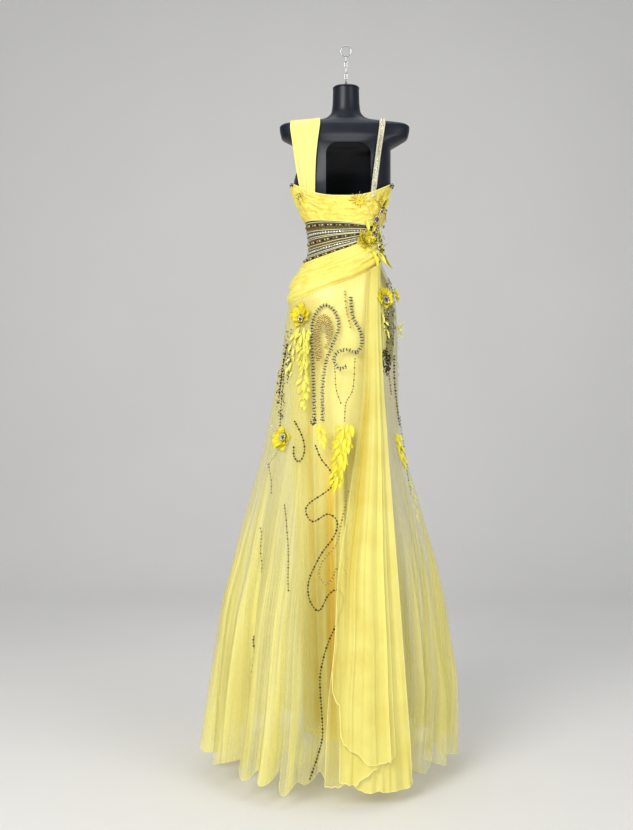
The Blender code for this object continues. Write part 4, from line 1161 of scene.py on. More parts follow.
def hem_height(angle, level, lift, flutes=None):
    """A hem that rises and falls a little, without a pattern, and rounds up into each valley."""
    height = level + lift * (0.5 + 0.5 * uneven(angle, 0.0, 40, 1, 51))
    height = height + 0.4 * lift * uneven(angle, 0.5, 95, 1, 52)
    if flutes is not None:
        height = height + PETAL_RISE * petal_gaps(angle) + HEM_ROUNDING * flute_dip(flutes, angle, 0.0)
        for notch in HEM_NOTCHES:
            height = height + NOTCH_RISE * bell(apart(angle, notch), 0, NOTCH_SPREAD)
    if flutes is NET_FLUTES:
        height = height - HEM_DROP * bell(angle, HEM_DROP_ANGLE, HEM_DROP_SPREAD)
    return height


def net_density(column, points, angle, height):
    """How dense a net is: by where it is, where its folds turn away and in their hollows."""
    smooth = section(NET_TABLE, angle, height, 0.0)
    facing = np.abs((grid_normals(points) * grid_normals(smooth)).sum(-1))
    turn = DENSE_TURN * below(height, 0.95, 0.35) + DENSE_TURN_LOW * below(height, 0.45, 0.25)
    turn = turn * bell(angle, DENSE_ANGLE, DENSE_SPREAD)
    known = np.array(NET_DENSITY).T
    thick = np.interp((angle - turn - known[0, 0]) % 360 + known[0, 0], known[0], known[column])
    thick = np.maximum(thick, HEM_DENSITY * below(height, HEM_DENSITY_TOP, 0.10))
    strip = HIP_STRIP * bell(angle, HIP_STRIP_ANGLE, HIP_STRIP_SPREAD) * smoothstep((height - 1.0) / 0.1)
    density = (thick + strip) * (0.80 + 1.7 * (1 - facing) ** 0.8)
    density *= 1 + 0.25 * smoothstep((height - 0.75) / 0.4)
    return density * (1 + 0.30 * np.clip(net_folds(angle, height) / 0.012, -1, 1))


def skirt_points(surface, start, end, step, rows, hem):
    """Points, angles and heights of a panel of a skirt from its hem up to the waist seam."""
    angle = np.linspace(start, end, int(round((end - start) / step)) + 1)[None]
    low = hem_height(angle, *hem)
    height = low + (waist_seam(angle) - low) * np.linspace(0, 1, rows)[:, None]
    angle = np.broadcast_to(angle, height.shape)
    return surface(angle, height), angle, height


def make_skirts():
    points, angle, height = skirt_points(lining_surface, *LINING_SPAN, 0.7, 120, (LINING_HEM, 0.006))
    # tone is the satin's painted shade in its hollows and painted highlight on its ridges.
    uv, tone = sheet_uv(angle, height), lining_painted_shading(angle, height)
    satin = grid_object("fine_lining", points, "satin", uv, tone=tone)
    piece(satin, ["satin_lining"])
    edges = Pile()
    edges.tube(points[0], 0.0011, UP)
    for column in (0, -1):
        edges.tube(points[:, column], 0.0009, (0, 1, 0))
    edges.piece("lining_edges", ["satin"], "satin")
    nets = (
        (UNDER_PANELS, UNDER_FLUTES, under_net_surface, 0.7, 64, (UNDER_NET_HEM, 0.012), 2),
        (NET_PANELS, NET_FLUTES, net_surface, 0.5, 84, (NET_HEM, 0.018), 1),
    )
    for panels, flutes, surface, step, rows, hem, column in nets:
        for name, first, last in panels:
            span = flute_middles(flutes, first, last)
            points, angle, height = skirt_points(surface, *span, step, rows, (*hem, flutes))
            weight = net_density(column, points, angle, height)
            piece(grid_object(f"fine_{name}", points, "net", sheet_uv(angle, height), weight), [name])
            edge = Pile()
            edge.tube(points[0], 0.0005, UP, sides=5)
            edge.piece(f"{name}_edge", ["hem"], "net")


# Creases of the train. Columns: height, share across, lean, half width, half length, how far out
TRAIN_CREASES = scaled((100, 1000, 100, 1000, 100, 10000), (
    (45, 35, 0, 14, 50, 20), (62, 210, 3, 18, 34, -22), (30, 290, -2, 13, 28, 18), (55, 445, 2, 20, 50, -24),
    (20, 560, -4, 16, 22, 18), (75, 640, 0, 18, 36, -20), (40, 735, 2, 14, 44, 22), (50, 905, 0, 18, 50, -24),
))
# Wrinkles that run across it. Columns: share across, height, lean, half width, half length, how far out
TRAIN_WRINKLES = scaled((100, 1000, 100, 1000, 100, 10000), (
    (34, 372, -10, 7, 12, -36), (40, 335, 6, 6, 15, 30), (30, 300, -5, 7, 12, -34), (52, 322, -8, 6, 13, -30),
    (45, 262, 4, 6, 16, 30), (62, 250, -4, 6, 11, -32), (36, 205, -12, 7, 13, 28), (56, 172, 8, 6, 13, -28),
))
TRAIN_RUFFLE = 0.005  # how far the foot of the train waves in and out, up to the height below
TRAIN_RUFFLE_TOP = 0.12
TRAIN_EDGE_TOP = 0.78  # the rolled edges at the train's sides thin out up to this height
TRAIN_SHEER_EDGE = 0.42  # what is left of the train's density along its left edge


def train_angle(share, height):
    left, right = np.moveaxis(eased(TRAIN, height), -1, 0)
    return angle_at(NET_TABLE, left + (right - left) * share, height)


def train_surface(share, height, order):
    """The outside of a layer of the train at a share of its width."""
    open_out = below(height, TRAIN_OPEN_TOP, TRAIN_OPEN_REACH)
    fold = eased(TRAIN_FOLDS, share)[..., 0]
    off = TRAIN_OFF_TOP + (TRAIN_OFF_LOW - TRAIN_OFF_TOP) * below(height, TRAIN[-1][0], TRAIN_OFF_REACH)
    off = off + order * (TRAIN_PLY_TOP + TRAIN_PLY_OPENS * open_out)
    off = off + TRAIN_FOLD_DEPTH * (0.30 + 0.42 * fold) * open_out
    off = off - TRAIN_SINKS * below(height, TRAIN_HOLLOW_TOP, TRAIN_HOLLOW_TOP)
    fine = troughs(TRAIN_CREASES, height, share + 0.004 * order) + troughs(TRAIN_WRINKLES, share, height)
    fine = fine + 0.0012 * uneven(360 * share, 1 - height / SKIRT_RISE, 17, 5, 61 + order)
    ruffle = TRAIN_RUFFLE * uneven(360 * share, 0.0, 19, 1, 65 + order)
    ruffle = ruffle * below(height, TRAIN_RUFFLE_TOP, TRAIN_RUFFLE_TOP)
    return section(NET_TABLE, train_angle(share, height), height, off - 0.0007 + open_out * fine + ruffle)


def make_train():
    for name, order, first, last in TRAIN_LAYERS:
        share = np.linspace(first, last, int(round(150 * (last - first))) + 1)
        places, lows = np.array(TRAIN_HEMS[name]).T / 1000
        hem = np.interp(share, places, lows) + 0.003 * uneven(360 * share, 0.0, 26, 1, 70 + order)
        top = np.full(share.shape, TRAIN[-1][0])
        for _ in range(6):
            top = edge_height(SASH_BOTTOM, train_angle(share, top)) - 3 * SEAM
        height = hem + (top - hem) * np.linspace(0, 1, 100)[:, None]
        share = np.broadcast_to(share, height.shape)
        points = train_surface(share, height, order)
        uv = np.stack([share * 0.45, height], axis=-1)
        weight = TRAIN_SHEER_EDGE + (1 - TRAIN_SHEER_EDGE) * smoothstep((share - 0.13) / 0.12)
        # Painted shade: the colour deepens in a band near the train's left edge, fading out towards the hem
        # and the top.
        left_edge_shade = bell(share, 0.20, 0.13) * smoothstep((height - 0.28) / 0.35)
        tone = 0.8 * left_edge_shade * below(height, 1.15, 0.3)
        piece(grid_object(f"fine_{name}", points, "train", uv, weight, tone), [name])
        edges = Pile()
        edges.tube(points[0], 0.0012, UP)
        for column in (0, -1):
            low = points[height[:, column] < TRAIN_EDGE_TOP, column]
            edges.tube(low, np.linspace(0.0010, 0.0002, len(low)), (0, 1, 0))
        edges.piece(f"{name}_edges", ["hem"], "chiffon")


def soft_light(name, place, target, size, power, colour=(1.0, 1.0, 1.0)):
    data = bpy.data.lights.new(name, "AREA")
    data.shape, data.size, data.energy, data.color = "DISK", size, power, colour
    made = linked(name, data)
    made.location = place
    made.rotation_euler = (Vector(target) - Vector(place)).to_track_quat("-Z", "Y").to_euler()


FLOOR_DROP = 0.035  # the floor lies this far below the hem
STAGE_FRONT = -6.0
STAGE_BACK = 4.2
STAGE_BEND = 1.6  # radius of the sweep from the floor to the backdrop
STAGE_HALF = 9.0
STAGE_RISE = 7.0


def make_stage():
    """A pale floor that sweeps up into a plain backdrop."""
    floor = Look("studio_floor", Roughness=0.85)
    floor.colours(floor.noise("Object", 1.2, 2.0), (0.86, 0.85, 0.83), (0.80, 0.79, 0.77))
    low, middle = -HANG_HEIGHT - FLOOR_DROP, STAGE_BACK - STAGE_BEND
    outline = [(STAGE_FRONT, low), (0.0, low), (middle, low)]
    for turn in np.radians(np.linspace(0, 90, 25))[1:]:
        outline.append((middle + STAGE_BEND * math.sin(turn), low + STAGE_BEND - STAGE_BEND * math.cos(turn)))
    outline.append((STAGE_BACK, low + STAGE_RISE))
    points = [(x, y, z) for y, z in outline for x in (-STAGE_HALF, STAGE_HALF)]
    made = mesh_object("backdrop", points, grid_faces(len(outline), 2), [floor.made])
    world = bpy.data.worlds.new("studio")
    world.use_nodes = True
    light = world.node_tree.nodes["Background"].inputs
    light["Color"].default_value, light["Strength"].default_value = (0.80, 0.83, 0.88, 1.0), 0.34
    bpy.context.scene.world = world
    soft_light("key", (-1.9, -3.3, 0.9), (0.0, 0.0, -0.9), 2.4, 120, (1.0, 0.98, 0.94))
    soft_light("fill", (2.6, -2.9, 0.1), (0.0, 0.0, -1.0), 2.6, 50)
    soft_light("top", (0.0, 0.2, 2.6), (0.0, 0.2, -1.0), 3.0, 45)
    bpy.context.scene.view_settings.view_transform = "Standard"


def make_camera():
    data = bpy.data.cameras.new("camera")
    data.sensor_width = SENSOR
    data.lens = PHOTO_SCALE * CAMERA_DISTANCE / PHOTO_HEIGHT * SENSOR
    made = linked("camera", data)
    x = (PHOTO_WIDTH / 2 - PHOTO_MIDDLE_X) / PHOTO_SCALE
    height = (PHOTO_HEM_Y - PHOTO_HEIGHT / 2) / PHOTO_SCALE
    made.location = (x, -CAMERA_DISTANCE, height - HANG_HEIGHT)
    made.rotation_euler = (math.radians(90), 0, 0)
    bpy.context.scene.camera = made


# How the beads of a line are set. Columns: spacing, radius and material, radius and material of the
# beads between them, half length and material of the glass tubes that lie across the line
BEAD_STYLES = {
    "dark": (0.0078, 0.0021, "bronze", 0.0017, "silver", 0.0050, "bronze"),
    "vine": (0.0082, 0.0026, "bronze", 0.0012, "gold", 0.0, None),
    "gold": (0.0084, 0.0025, "gold", 0.0011, "pearl", 0.0, None),
    "fringe": (0.0046, 0.0013, "bronze", 0.0010, "pearl", 0.0052, "gold"),
    "fine": (0.0080, 0.0019, "bronze", 0.0010, "gold", 0.0, None),
    "faint": (0.0092, 0.0017, "bronze", 0.0009, "silver", 0.0, None),
    "pale": (0.0066, 0.0020, "pearl", 0.0011, "bronze", 0.0, None),
}
TUBE_RADIUS = 0.0011
# Beads on the neckline at the ends of the back. Columns: style, first angle, last angle
NECK_BEADS = (("dark", 148, 198), ("dark", 338, 392))
# Bead lines on the back of the skirt: style, then x and height in millimetres of the points they run through
BEAD_LINES = (
    ("dark", (-82, 884), (-84, 960), (-86, 1040), (-89, 1105), (-83, 1158), (-58, 1190), (-31, 1172),
     (-22, 1130), (-38, 1085), (-54, 1040), (-62, 980), (-63, 892)),
    ("fringe", (-73, 1046), (-79, 1110), (-71, 1150), (-58, 1163), (-45, 1148), (-41, 1112), (-53, 1078)),
    ("fringe", (-68, 1052), (-72, 1108), (-65, 1141), (-58, 1148), (-51, 1136), (-50, 1104)),
    ("gold", (-6, 1226), (-4, 1185), (7, 1132)),
    ("dark", (8, 1210), (13, 1160), (30, 1124), (35, 1092), (22, 1067), (-2, 1074), (-26, 1066),
     (-34, 1044), (-21, 1024), (-5, 1030)),
    ("fine", (-32, 1024), (-29, 972), (-18, 936)),
    ("fine", (18, 1050), (12, 972), (-5, 936), (-9, 890)),
    ("vine", (-131, 888), (-113, 850), (-108, 812), (-120, 786), (-133, 798), (-134, 822)),
    ("vine", (-80, 826), (-66, 792), (-41, 757), (-43, 722), (-94, 684), (-103, 661), (-87, 638),
     (-52, 656), (-29, 640), (-35, 604), (-70, 556), (-97, 496), (-95, 447), (-74, 424), (-52, 460),
     (-30, 474), (-13, 450), (-26, 404), (-53, 346), (-73, 278), (-74, 220), (-68, 134), (-80, 84),
     (-100, 30)),
    ("gold", (-1, 712), (-17, 640), (-30, 584), (-65, 542), (-73, 510), (-58, 486), (-41, 500), (-31, 524),
     (-13, 526), (-4, 506)),
    ("faint", (-199, 776), (-197, 704)),
    ("fine", (-157, 676), (-149, 610), (-147, 530), (-148, 470)),
    ("faint", (-231, 612), (-234, 504)),
    ("vine", (-260, 342), (-254, 292), (-261, 232), (-283, 196)),
    ("pale", (-180, 808), (-190, 792), (-204, 772)),
    ("vine", (-150, 1090), (-160, 1040), (-170, 965)),
    ("faint", (-140, 1130), (-144, 1064), (-150, 990)),
    ("fine", (-158, 1020), (-166, 930), (-170, 870)),
    ("pale", (72, 1300), (73, 1262), (72, 1232)),
    ("fine", (92, 1180), (101, 1130), (98, 1075), (104, 1010), (110, 960)),
    ("vine", (118, 1060), (118, 1000), (124, 940), (132, 880)),
    ("faint", (137, 900), (144, 840), (151, 770), (160, 700)),
)
# Loose beads: material, x, height, half width, half height, how many, radius, seed
BEAD_CLOUDS = scaled((1, 1000, 1000, 1000, 1000, 1, 10000, 1), (
    ("silver", 112, 1190, 14, 85, 90, 13, 201), ("bronze", 108, 1170, 16, 100, 130, 15, 202),
    ("bronze", 98, 1045, 12, 36, 120, 19, 203), ("silver", 128, 1040, 10, 80, 50, 12, 204),
    ("bronze", -152, 1060, 12, 70, 80, 15, 205), ("silver", -148, 1080, 14, 80, 50, 12, 206),
    ("bronze", -168, 960, 12, 70, 90, 15, 207), ("silver", -62, 930, 4, 45, 36, 11, 208),
    ("bronze", -86, 890, 7, 12, 30, 15, 209), ("silver", -58, 1128, 6, 10, 20, 14, 210),
    ("gem", 22, 1066, 5, 6, 8, 20, 211), ("pearl", -168, 905, 15, 90, 24, 10, 212),
    ("gold", -30, 800, 30, 60, 26, 10, 213), ("pearl", -30, 640, 50, 200, 40, 8, 214),
))


def net_outside(angle, height):
    """The outside of the outer net, and of the body above the waist seam."""
    above = (height > waist_seam(angle))[..., None]
    return np.where(above, section(NET_TABLE, angle, height, NET_OFF), net_surface(angle, height))


def bodice_outside(angle, height):
    """The outside of the bodice: band, waist or sash."""
    low, high = edge_height(BAND_BOTTOM, angle), band_top(angle)
    foot, head = edge_height(SASH_BOTTOM, angle), edge_height(SASH_TOP, angle)
    on_band = BODICE_OFF + band_relief(angle, np.clip((height - low) / (high - low), 0, 1))
    share = np.clip((height - foot) / (head - foot), 0, 1)
    on_sash = sash_off(share) + sash_relief(angle, share)
    off = np.where(height > low, on_band, np.where(height < head, on_sash, BODICE_OFF + 0.0012))
    return section(BODY, angle, height, off)


CARRIERS = {"net": (NET_TABLE, net_outside), "bodice": (BODY, bodice_outside)}
TILT_TURN = 0.5  # degrees and metres either way over which a carrier's slope is taken
TILT_RISE = 0.004


def on_carrier(carrier, x, height, lift):
    """Places on the back of the net or of the bodice, with the way out and the way up there."""
    table, outside = CARRIERS[carrier]
    x, height = np.broadcast_arrays(np.asarray(x, float), height)
    angle = angle_at(table, x, height)
    across, up = (
        section(table, angle + turn, height + rise, 0.0) - section(table, angle - turn, height - rise, 0.0)
        for turn, rise in ((TILT_TURN, 0.0), (0.0, TILT_RISE))
    )
    out = unit(np.cross(across, up))
    return outside(angle, height) + lift * out, out, unit(up)


def spot(carrier, x, height, lift):
    """One place on a carrier, with the ways to the right, up and out there."""
    at, out, up = (v.reshape(3) for v in on_carrier(carrier, x, height, lift))
    return at, np.cross(up, out), up, out


def bead_ring(pile, middle, radius, count, ways, size, kind, start=0.0):
    side, up, out = ways
    turn = start + 2 * np.pi * np.arange(count)[:, None] / count
    pile.scatter(BEAD, middle + radius * towards(turn, side, up), up, out, size, kind)


def bead_cloud(pile, carrier, kind, x, height, wide, tall, count, radius, seed, lift, most):
    """Loose beads over an ellipse, the largest of them most times the radius."""
    rng = np.random.default_rng(seed)
    turn, reach = rng.uniform(0, 2 * np.pi, count), np.sqrt(rng.uniform(0, 1, count))
    x, height = x + wide * reach * np.cos(turn), height + tall * reach * np.sin(turn)
    at, out, up = on_carrier(carrier, x, height, lift)
    pile.scatter(BEAD, at, up, out, radius * rng.uniform(0.7, most, count)[:, None], kind)


def string_beads(pile, path, out, style):
    """Round beads along a path, with glass tubes across it where the style has them."""
    spacing, radius, kind, between, between_kind, reach, tube_kind = BEAD_STYLES[style]
    joined = even_steps(np.concatenate([path, out * 1e-6], axis=1), spacing)
    path, out = joined[:, :3], unit(joined[:, 3:])
    along = unit(np.gradient(path, axis=0))
    side = unit(np.cross(out, along))
    order = np.arange(len(path))
    sizes = radius * (1 + 0.18 * np.sin(2.4 * order**1.1))
    pile.scatter(BEAD, path + out * 0.8 * radius, along, out, sizes[:, None], kind)
    half = 0.5 * (path[1:] + path[:-1])
    for aside in (-0.5 * reach, 0.5 * reach) if reach else (0.0,):
        at = half + out[1:] * 0.9 * between + side[1:] * aside
        pile.scatter(BEAD, at, along[1:], out[1:], between, between_kind)
    if reach:
        lean = (0.25 * np.sin(1.7 * order**1.2))[:, None]
        long, thin = reach * (1 + 0.2 * np.sin(2.9 * order)), np.full(len(path), TUBE_RADIUS)
        size = np.stack([long, thin, thin], axis=1)
        pile.scatter(BUGLE, path + out * TUBE_RADIUS, side + lean * along, out, size, tube_kind)


def make_bead_lines():
    lines, clouds = Pile(), Pile()
    for style, first, last in NECK_BEADS:
        angle = np.linspace(first, last, 90)
        path = band_surface(angle, 0.975, band_relief(angle, 0.975))
        string_beads(lines, path, unit(path * LEVEL), style)
    for style, *points in BEAD_LINES:
        path, out, _ = on_carrier("net", *smooth_path(np.array(points) / 1000).T, 0.0006)
        string_beads(lines, path, out, style)
    lines.piece("bead_lines", BEAD_MATERIALS, "beads")
    for cloud in BEAD_CLOUDS:
        bead_cloud(clouds, "net", *cloud, lift=0.0012, most=1.25)
    clouds.piece("loose_beads", BEAD_MATERIALS, "beads")


# Rows of trim round the waist, up from the sash: share of the way up, kind of row
WAIST_ROWS = scaled((1000, 1), (
    (35, "cord"), (105, "spaced"), (165, "cord"), (200, "cord"), (275, "silver"), (345, "cord"),
    (385, "gold"), (425, "cord"), (500, "spaced"), (570, "cord"), (605, "cord"), (680, "silver"),
    (750, "cord"), (785, "gold"), (885, "spaced"), (955, "cord"),
))
# Kinds of row: steps between the stones, largest radius, radius as a share of the waist's height there
WAIST_STONES = {
    "silver": (0.0080, 0.0040, 0.038),
    "spaced": (0.0080, 0.0034, 0.032),
    "gold": (0.0052, 0.0018, 0.018),
}
WAIST_ROW_START = 14.0
WAIST_ROW_END = 337.0
# Every third bead of a spaced row, in turn: material, share of the radius
SPACED_BEADS = (("gold", 1.0), ("pearl", 0.8), ("bronze", 1.0))


def make_waist_rows():
    """Bead rows and thin cords that fan out from the knot, all round the waist."""
    beads, cords = Pile(), Pile()
    angle = np.linspace(WAIST_ROW_START, WAIST_ROW_END, 900)
    gap = edge_height(BAND_BOTTOM, angle) - edge_height(SASH_TOP, angle)
    for order, (share, kind) in enumerate(WAIST_ROWS):
        path = waist_surface(angle, share + 0.006 * np.sin(angle / 23 + order), 0.0026)
        if kind == "cord":
            cords.tube(even_steps(path, 0.004), 0.0010, UP)
            continue
        step, largest, of_gap = WAIST_STONES[kind]
        radius = np.minimum(largest, of_gap * gap)
        keep = radius > 0.0007
        row = even_steps(np.concatenate([path[keep], radius[keep, None]], axis=1), step)
        place, size = row[:, :3], row[:, 3:]
        along, out = unit(np.gradient(place, axis=0)), unit(place * LEVEL)
        if kind == "silver":
            change = 1 + 0.22 * np.sin(2.2 * np.arange(len(size)) + order)[:, None]
            spread = np.concatenate([size * 1.02 * change, size * 0.9, size * 0.8], axis=1)
            beads.scatter(GEM, place, along, out, spread, "silver")
            half = 0.5 * (place[1:] + place[:-1])
            beads.scatter(BEAD, half, along[1:], out[1:], 0.42 * size[1:], "pearl")
        elif kind == "gold":
            beads.scatter(BEAD, place, along, out, size, "gold")
        else:
            for first, (colour, share_of) in enumerate(SPACED_BEADS):
                some = slice(first, None, len(SPACED_BEADS))
                beads.scatter(BEAD, place[some], along[some], out[some], share_of * size[some], colour)
    beads.piece("waist_beads", BEAD_MATERIALS, "beads", smooth=False)
    cords.piece("waist_cords", ["cord"], "beads")


def blade(length, half_width, cup, curl, blunt=0.5, ripple=0.0, rib=0.25, rows=10, columns=9):
    """A petal or leaf: X from its root to its tip, Y across, Z out. blunt moves its widest place out."""
    u, v = np.linspace(0, 1, rows)[:, None], np.linspace(-1, 1, columns)[None]
    width = half_width * np.sin(np.pi * np.clip(u, 0.02, 0.985) ** (0.6 + blunt)) ** (1.0 - 0.45 * blunt)
    x = length * u * (1 - 0.05 * v**2)
    z = cup * half_width * v**2 * np.sin(np.pi * u) + curl * length * u**2
    z = z - rib * half_width * bell(v, 0, 0.22) * np.sin(np.pi * u)
    z = z + ripple * half_width * np.sin(7 * np.pi * v + 4 * u) * u**1.5 * np.abs(v)
    return np.stack(np.broadcast_arrays(x, width * v, z), axis=-1)


def lay_blade(pile, points, at, along, out, kind=0):
    """Puts a blade on the part, its root at a place."""
    side = unit(np.cross(out, along))
    along = np.cross(side, out)
    pile.grid(at + points[..., :1] * along + points[..., 1:2] * side + points[..., 2:] * out, kind)


def lay_leaf(leaves, ribs, points, at, way, out, rib_radius):
    """A leaf with a round rib down its middle."""
    lay_blade(leaves, points, at, way, out)
    path = points[:, points.shape[1] // 2]
    ribs.tube(at + out * 0.0004 + path[:, :1] * way + path[:, 2:] * out, rib_radius, np.cross(out, way))


# Petals of a flower: share of a turn, reach, half width, cup, curl, ripple, all as shares or in radii
OUTER_PETALS = scaled((100, 100, 100, 100, 100, 100), (
    (0, 102, 40, 45, 20, 50), (10, 84, 34, 55, 50, 40), (20, 110, 38, 40, 12, 52), (32, 90, 42, 50, 40, 46),
    (43, 104, 36, 45, 22, 50), (54, 86, 40, 55, 45, 42), (65, 108, 38, 40, 15, 52), (77, 92, 42, 50, 35, 46),
    (89, 100, 36, 45, 28, 48),
))
INNER_PETALS = scaled((100, 100, 100, 100, 100, 100), (
    (6, 74, 32, 70, 75, 44), (19, 58, 28, 80, 105, 36), (30, 78, 32, 60, 60, 46), (44, 60, 28, 80, 100, 38),
    (57, 76, 31, 70, 66, 44), (70, 56, 28, 80, 100, 36), (80, 72, 32, 70, 72, 46), (92, 62, 28, 80, 95, 40),
))
# Columns: node, carrier, x, height, radius, lift, turn, radius of the stone, how far the stone sits
# across and up from the middle
FLOWERS = scaled((1, 1, 1000, 1000, 1000, 1000, 100, 10000, 1000, 1000), (
    ("flower_waist", "bodice", 76, 1402, 17, 1, 10, 50, 1, 1),
    ("flower_hip_right", "net", 92, 1212, 26, 4, 30, 95, -3, -7),
    ("flower_side_right", "net", 122, 1226, 18, 4, 55, 30, 0, 0),
    ("flower_hip_left", "net", -114, 1166, 29, 4, 5, 72, 6, -12),
    ("flower_knee_left", "net", -163, 842, 29, 4, 62, 82, 9, 5),
))
# Rings of beads round a stone. Columns: radius in the stone's, start, how far in, radius, material
HEART_RINGS = (
    (1.0, 0.0, 0.0, 0.0016, "silver"), (0.72, 0.0, 0.0, 0.0012, "silver"),
    (1.32, 0.2, 0.001, 0.0014, "bronze"),
)
HEART_SPACING = 0.0034


def make_flowers():
    for node, carrier, x, height, radius, lift, start, stone, across, rise in FLOWERS:
        at, side, up, out = spot(carrier, x, height, lift)
        petals, hearts = Pile(), Pile()
        for petals_of, low in ((OUTER_PETALS, 0.0), (INNER_PETALS, 0.0022)):
            for share, reach, half, cup_in, curl, ripple in petals_of:
                way = towards(2 * math.pi * (share + start), side, up)
                shape = blade(reach * radius, half * radius, cup_in, 0.5 * curl, 0.75, ripple, 0.12)
                lay_blade(petals, shape, at + out * low + way * 0.10 * radius, way, out)
        petals.piece(f"fine_{node}", ["petal"], "petals", [node])
        middle = at + out * (0.0040 + 0.12 * radius) + side * across + up * rise
        hearts.scatter(GEM, middle, side, out, 0.62 * stone, "gem")
        count = max(8, int(2 * math.pi * stone / HEART_SPACING))
        for reach, first, sunk, size, kind in HEART_RINGS:
            at = middle - out * sunk
            bead_ring(hearts, at, stone * reach, count, (side, up, out), size, kind, first)
        hearts.piece(f"heart_{node}", BEAD_MATERIALS, "beads", smooth=False)


# Sprays of leaves. Columns: node, carrier, x and height of the root, across, down, length of a leaf,
# half width, how many leaves, how far they spread, lift, material
SPRAYS = scaled((1, 1, 1000, 1000, 1000, 1000, 1000, 10000, 1, 1000, 10000, 1), (
    ("spray_hip_left", "net", -108, 1136, 3, 112, 32, 50, 40, 12, 22, "leaf"),
    ("spray_knee_centre", "net", -6, 884, -26, 150, 40, 62, 44, 14, 22, "petal"),
    ("spray_knee_right", "net", 120, 858, 20, 80, 26, 64, 18, 7, 22, "petal"),
    ("green_hip_left", "net", -108, 1015, 2, 80, 30, 68, 12, 8, -8, "leaf"),
    ("green_side_left", "net", -130, 1118, -12, 100, 26, 50, 9, 6, 12, "leaf"),
    ("spray_low_right", "net", 156, 735, 20, 100, 18, 36, 9, 3, 12, "leaf"),
    ("spray_small", "net", -68, 884, 6, 46, 26, 50, 8, 6, 20, "petal"),
    ("spray_side_right", "net", 86, 1180, 12, 60, 20, 40, 7, 4, 14, "leaf"),
))
# How the leaves of a spray differ. Columns: turn from the stem, length, width, curl, how far they slip,
# how far aside their roots are as a share of the spread
LEAF_CHANGES = scaled((100, 100, 100, 100, 100, 10), (
    (50, 100, 100, 14, 0, 6), (-62, 80, 85, 26, 20, -8), (15, 120, 105, 6, -10, 1),
    (-28, 105, 115, 12, 10, -9), (80, 66, 80, 30, 25, 10), (-8, 125, 90, 4, -20, 3), (36, 90, 120, 20, 5, 8),
    (-85, 70, 85, 32, 0, -5), (4, 110, 95, 10, 30, -4), (-44, 98, 110, 16, -15, -2), (62, 84, 92, 22, 10, 2),
    (-18, 115, 80, 8, 0, -9), (26, 100, 110, 12, 15, 7),
))
SPRAY_NODES = ("spray_hip_left", "spray_knee_centre", "spray_knee_right")


def make_sprays():
    for node, carrier, x, height, across, down, length, half, count, spread, lift, kind in SPRAYS:
        leaves, ribs = Pile(), Pile()
        reach = math.hypot(across, down)
        for k in range(count):
            share = k / (count - 1)
            turn, long, wide, curl, slip, aside = LEAF_CHANGES[(k + count) % len(LEAF_CHANGES)]
            x_at = x + across * share + spread * aside * (1 - 0.45 * share)
            at, side, up, out = spot(carrier, x_at, height - down * share, lift)
            down_way = unit(side * across / reach - up * down / reach)
            turn = (0.1 if k == count - 1 else turn) * (1 - 0.35 * share)
            way = towards(turn, down_way, np.cross(out, down_way))
            at = at + slip * 0.2 * length * down_way + out * 0.0011 * (k % 4)
            long, wide = length * long * (1 - 0.20 * share), half * wide * (1 - 0.15 * share)
            lay_leaf(leaves, ribs, blade(long, wide, 0.45, curl, 0.22, 0.14, 0.4), at, way, out, 0.0004)
        leaves.piece(f"fine_{node}", [kind], "petals", [node] if node in SPRAY_NODES else [])
        ribs.piece(f"{node}_ribs", ["hem"], "petals")


# Leaves of the knot. Columns: carrier, x and height of the root, across, down, half width, lift, curl
KNOT_LEAVES = scaled((1, 1000, 1000, 1000, 1000, 10000, 1000, 100), (
    ("bodice", 64, 1392, 12, 48, 75, 4, 10), ("bodice", 84, 1394, 10, 40, 60, 4, 25),
    ("bodice", 56, 1376, -4, 44, 65, 3, 5), ("bodice", 78, 1366, 20, 36, 65, 4, 15),
    ("bodice", 66, 1342, 26, 42, 90, 5, 20), ("bodice", 84, 1334, 30, 36, 80, 5, 25),
    ("bodice", 58, 1336, 6, 46, 80, 5, 5), ("bodice", 48, 1420, 10, 30, 55, 3, 10),
    ("bodice", 92, 1452, 12, -32, 70, 3, 20), ("bodice", 82, 1440, -8, -34, 65, 3, 15),
    ("bodice", 98, 1478, 10, -28, 60, 2, 20), ("bodice", 76, 1470, -10, -26, 60, 2, 15),
    ("bodice", 86, 1462, 2, -34, 62, 4, 25), ("bodice", 100, 1446, 6, 22, 52, 3, 30),
    ("bodice", 70, 1408, -12, 20, 60, 4, 20), ("bodice", 50, 1352, -14, 34, 70, 4, 10),
    ("net", 128, 1132, 6, -22, 45, 2, 90), ("net", 129, 1124, 8, 12, 40, 2, 110),
    ("net", 128, 1128, 12, -8, 36, 2, 100),
))
KNOT_LEAF_NODES = {0: ["leaf_knot_upper"], 4: ["leaf_knot_lower"]}
# Loose beads of the knot: material, x, height, half width, half height, how many, radius, seed, lift
KNOT_BEADS = scaled((1, 1000, 1000, 1000, 1000, 1, 10000, 1, 10000), (
    ("gold", 47, 1368, 18, 22, 90, 13, 301, 90), ("bronze", 50, 1372, 16, 20, 40, 13, 311, 80),
    ("bronze", 70, 1385, 12, 30, 60, 15, 302, 45), ("silver", 76, 1392, 14, 30, 40, 13, 303, 45),
    ("bronze", 78, 1340, 10, 22, 36, 14, 304, 45), ("pearl", 88, 1352, 12, 16, 18, 15, 305, 45),
    ("gold", 88, 1452, 18, 30, 90, 12, 306, 45), ("bronze", 92, 1468, 12, 26, 46, 13, 307, 45),
    ("pearl", 88, 1444, 10, 26, 24, 13, 308, 45), ("gold", -112, 1478, 10, 14, 26, 10, 309, 45),
    ("bronze", -116, 1486, 8, 10, 16, 11, 310, 45),
))
# Columns: x, height, radius
KNOT_STONES = scaled((1000, 1000, 10000), (
    (73, 1424, 62), (66, 1388, 50), (70, 1352, 45), (90, 1412, 38), (84, 1446, 40), (78, 1372, 36),
    (88, 1330, 34),
))
ROSETTE = (0.047, 1.368)  # x and height of its middle
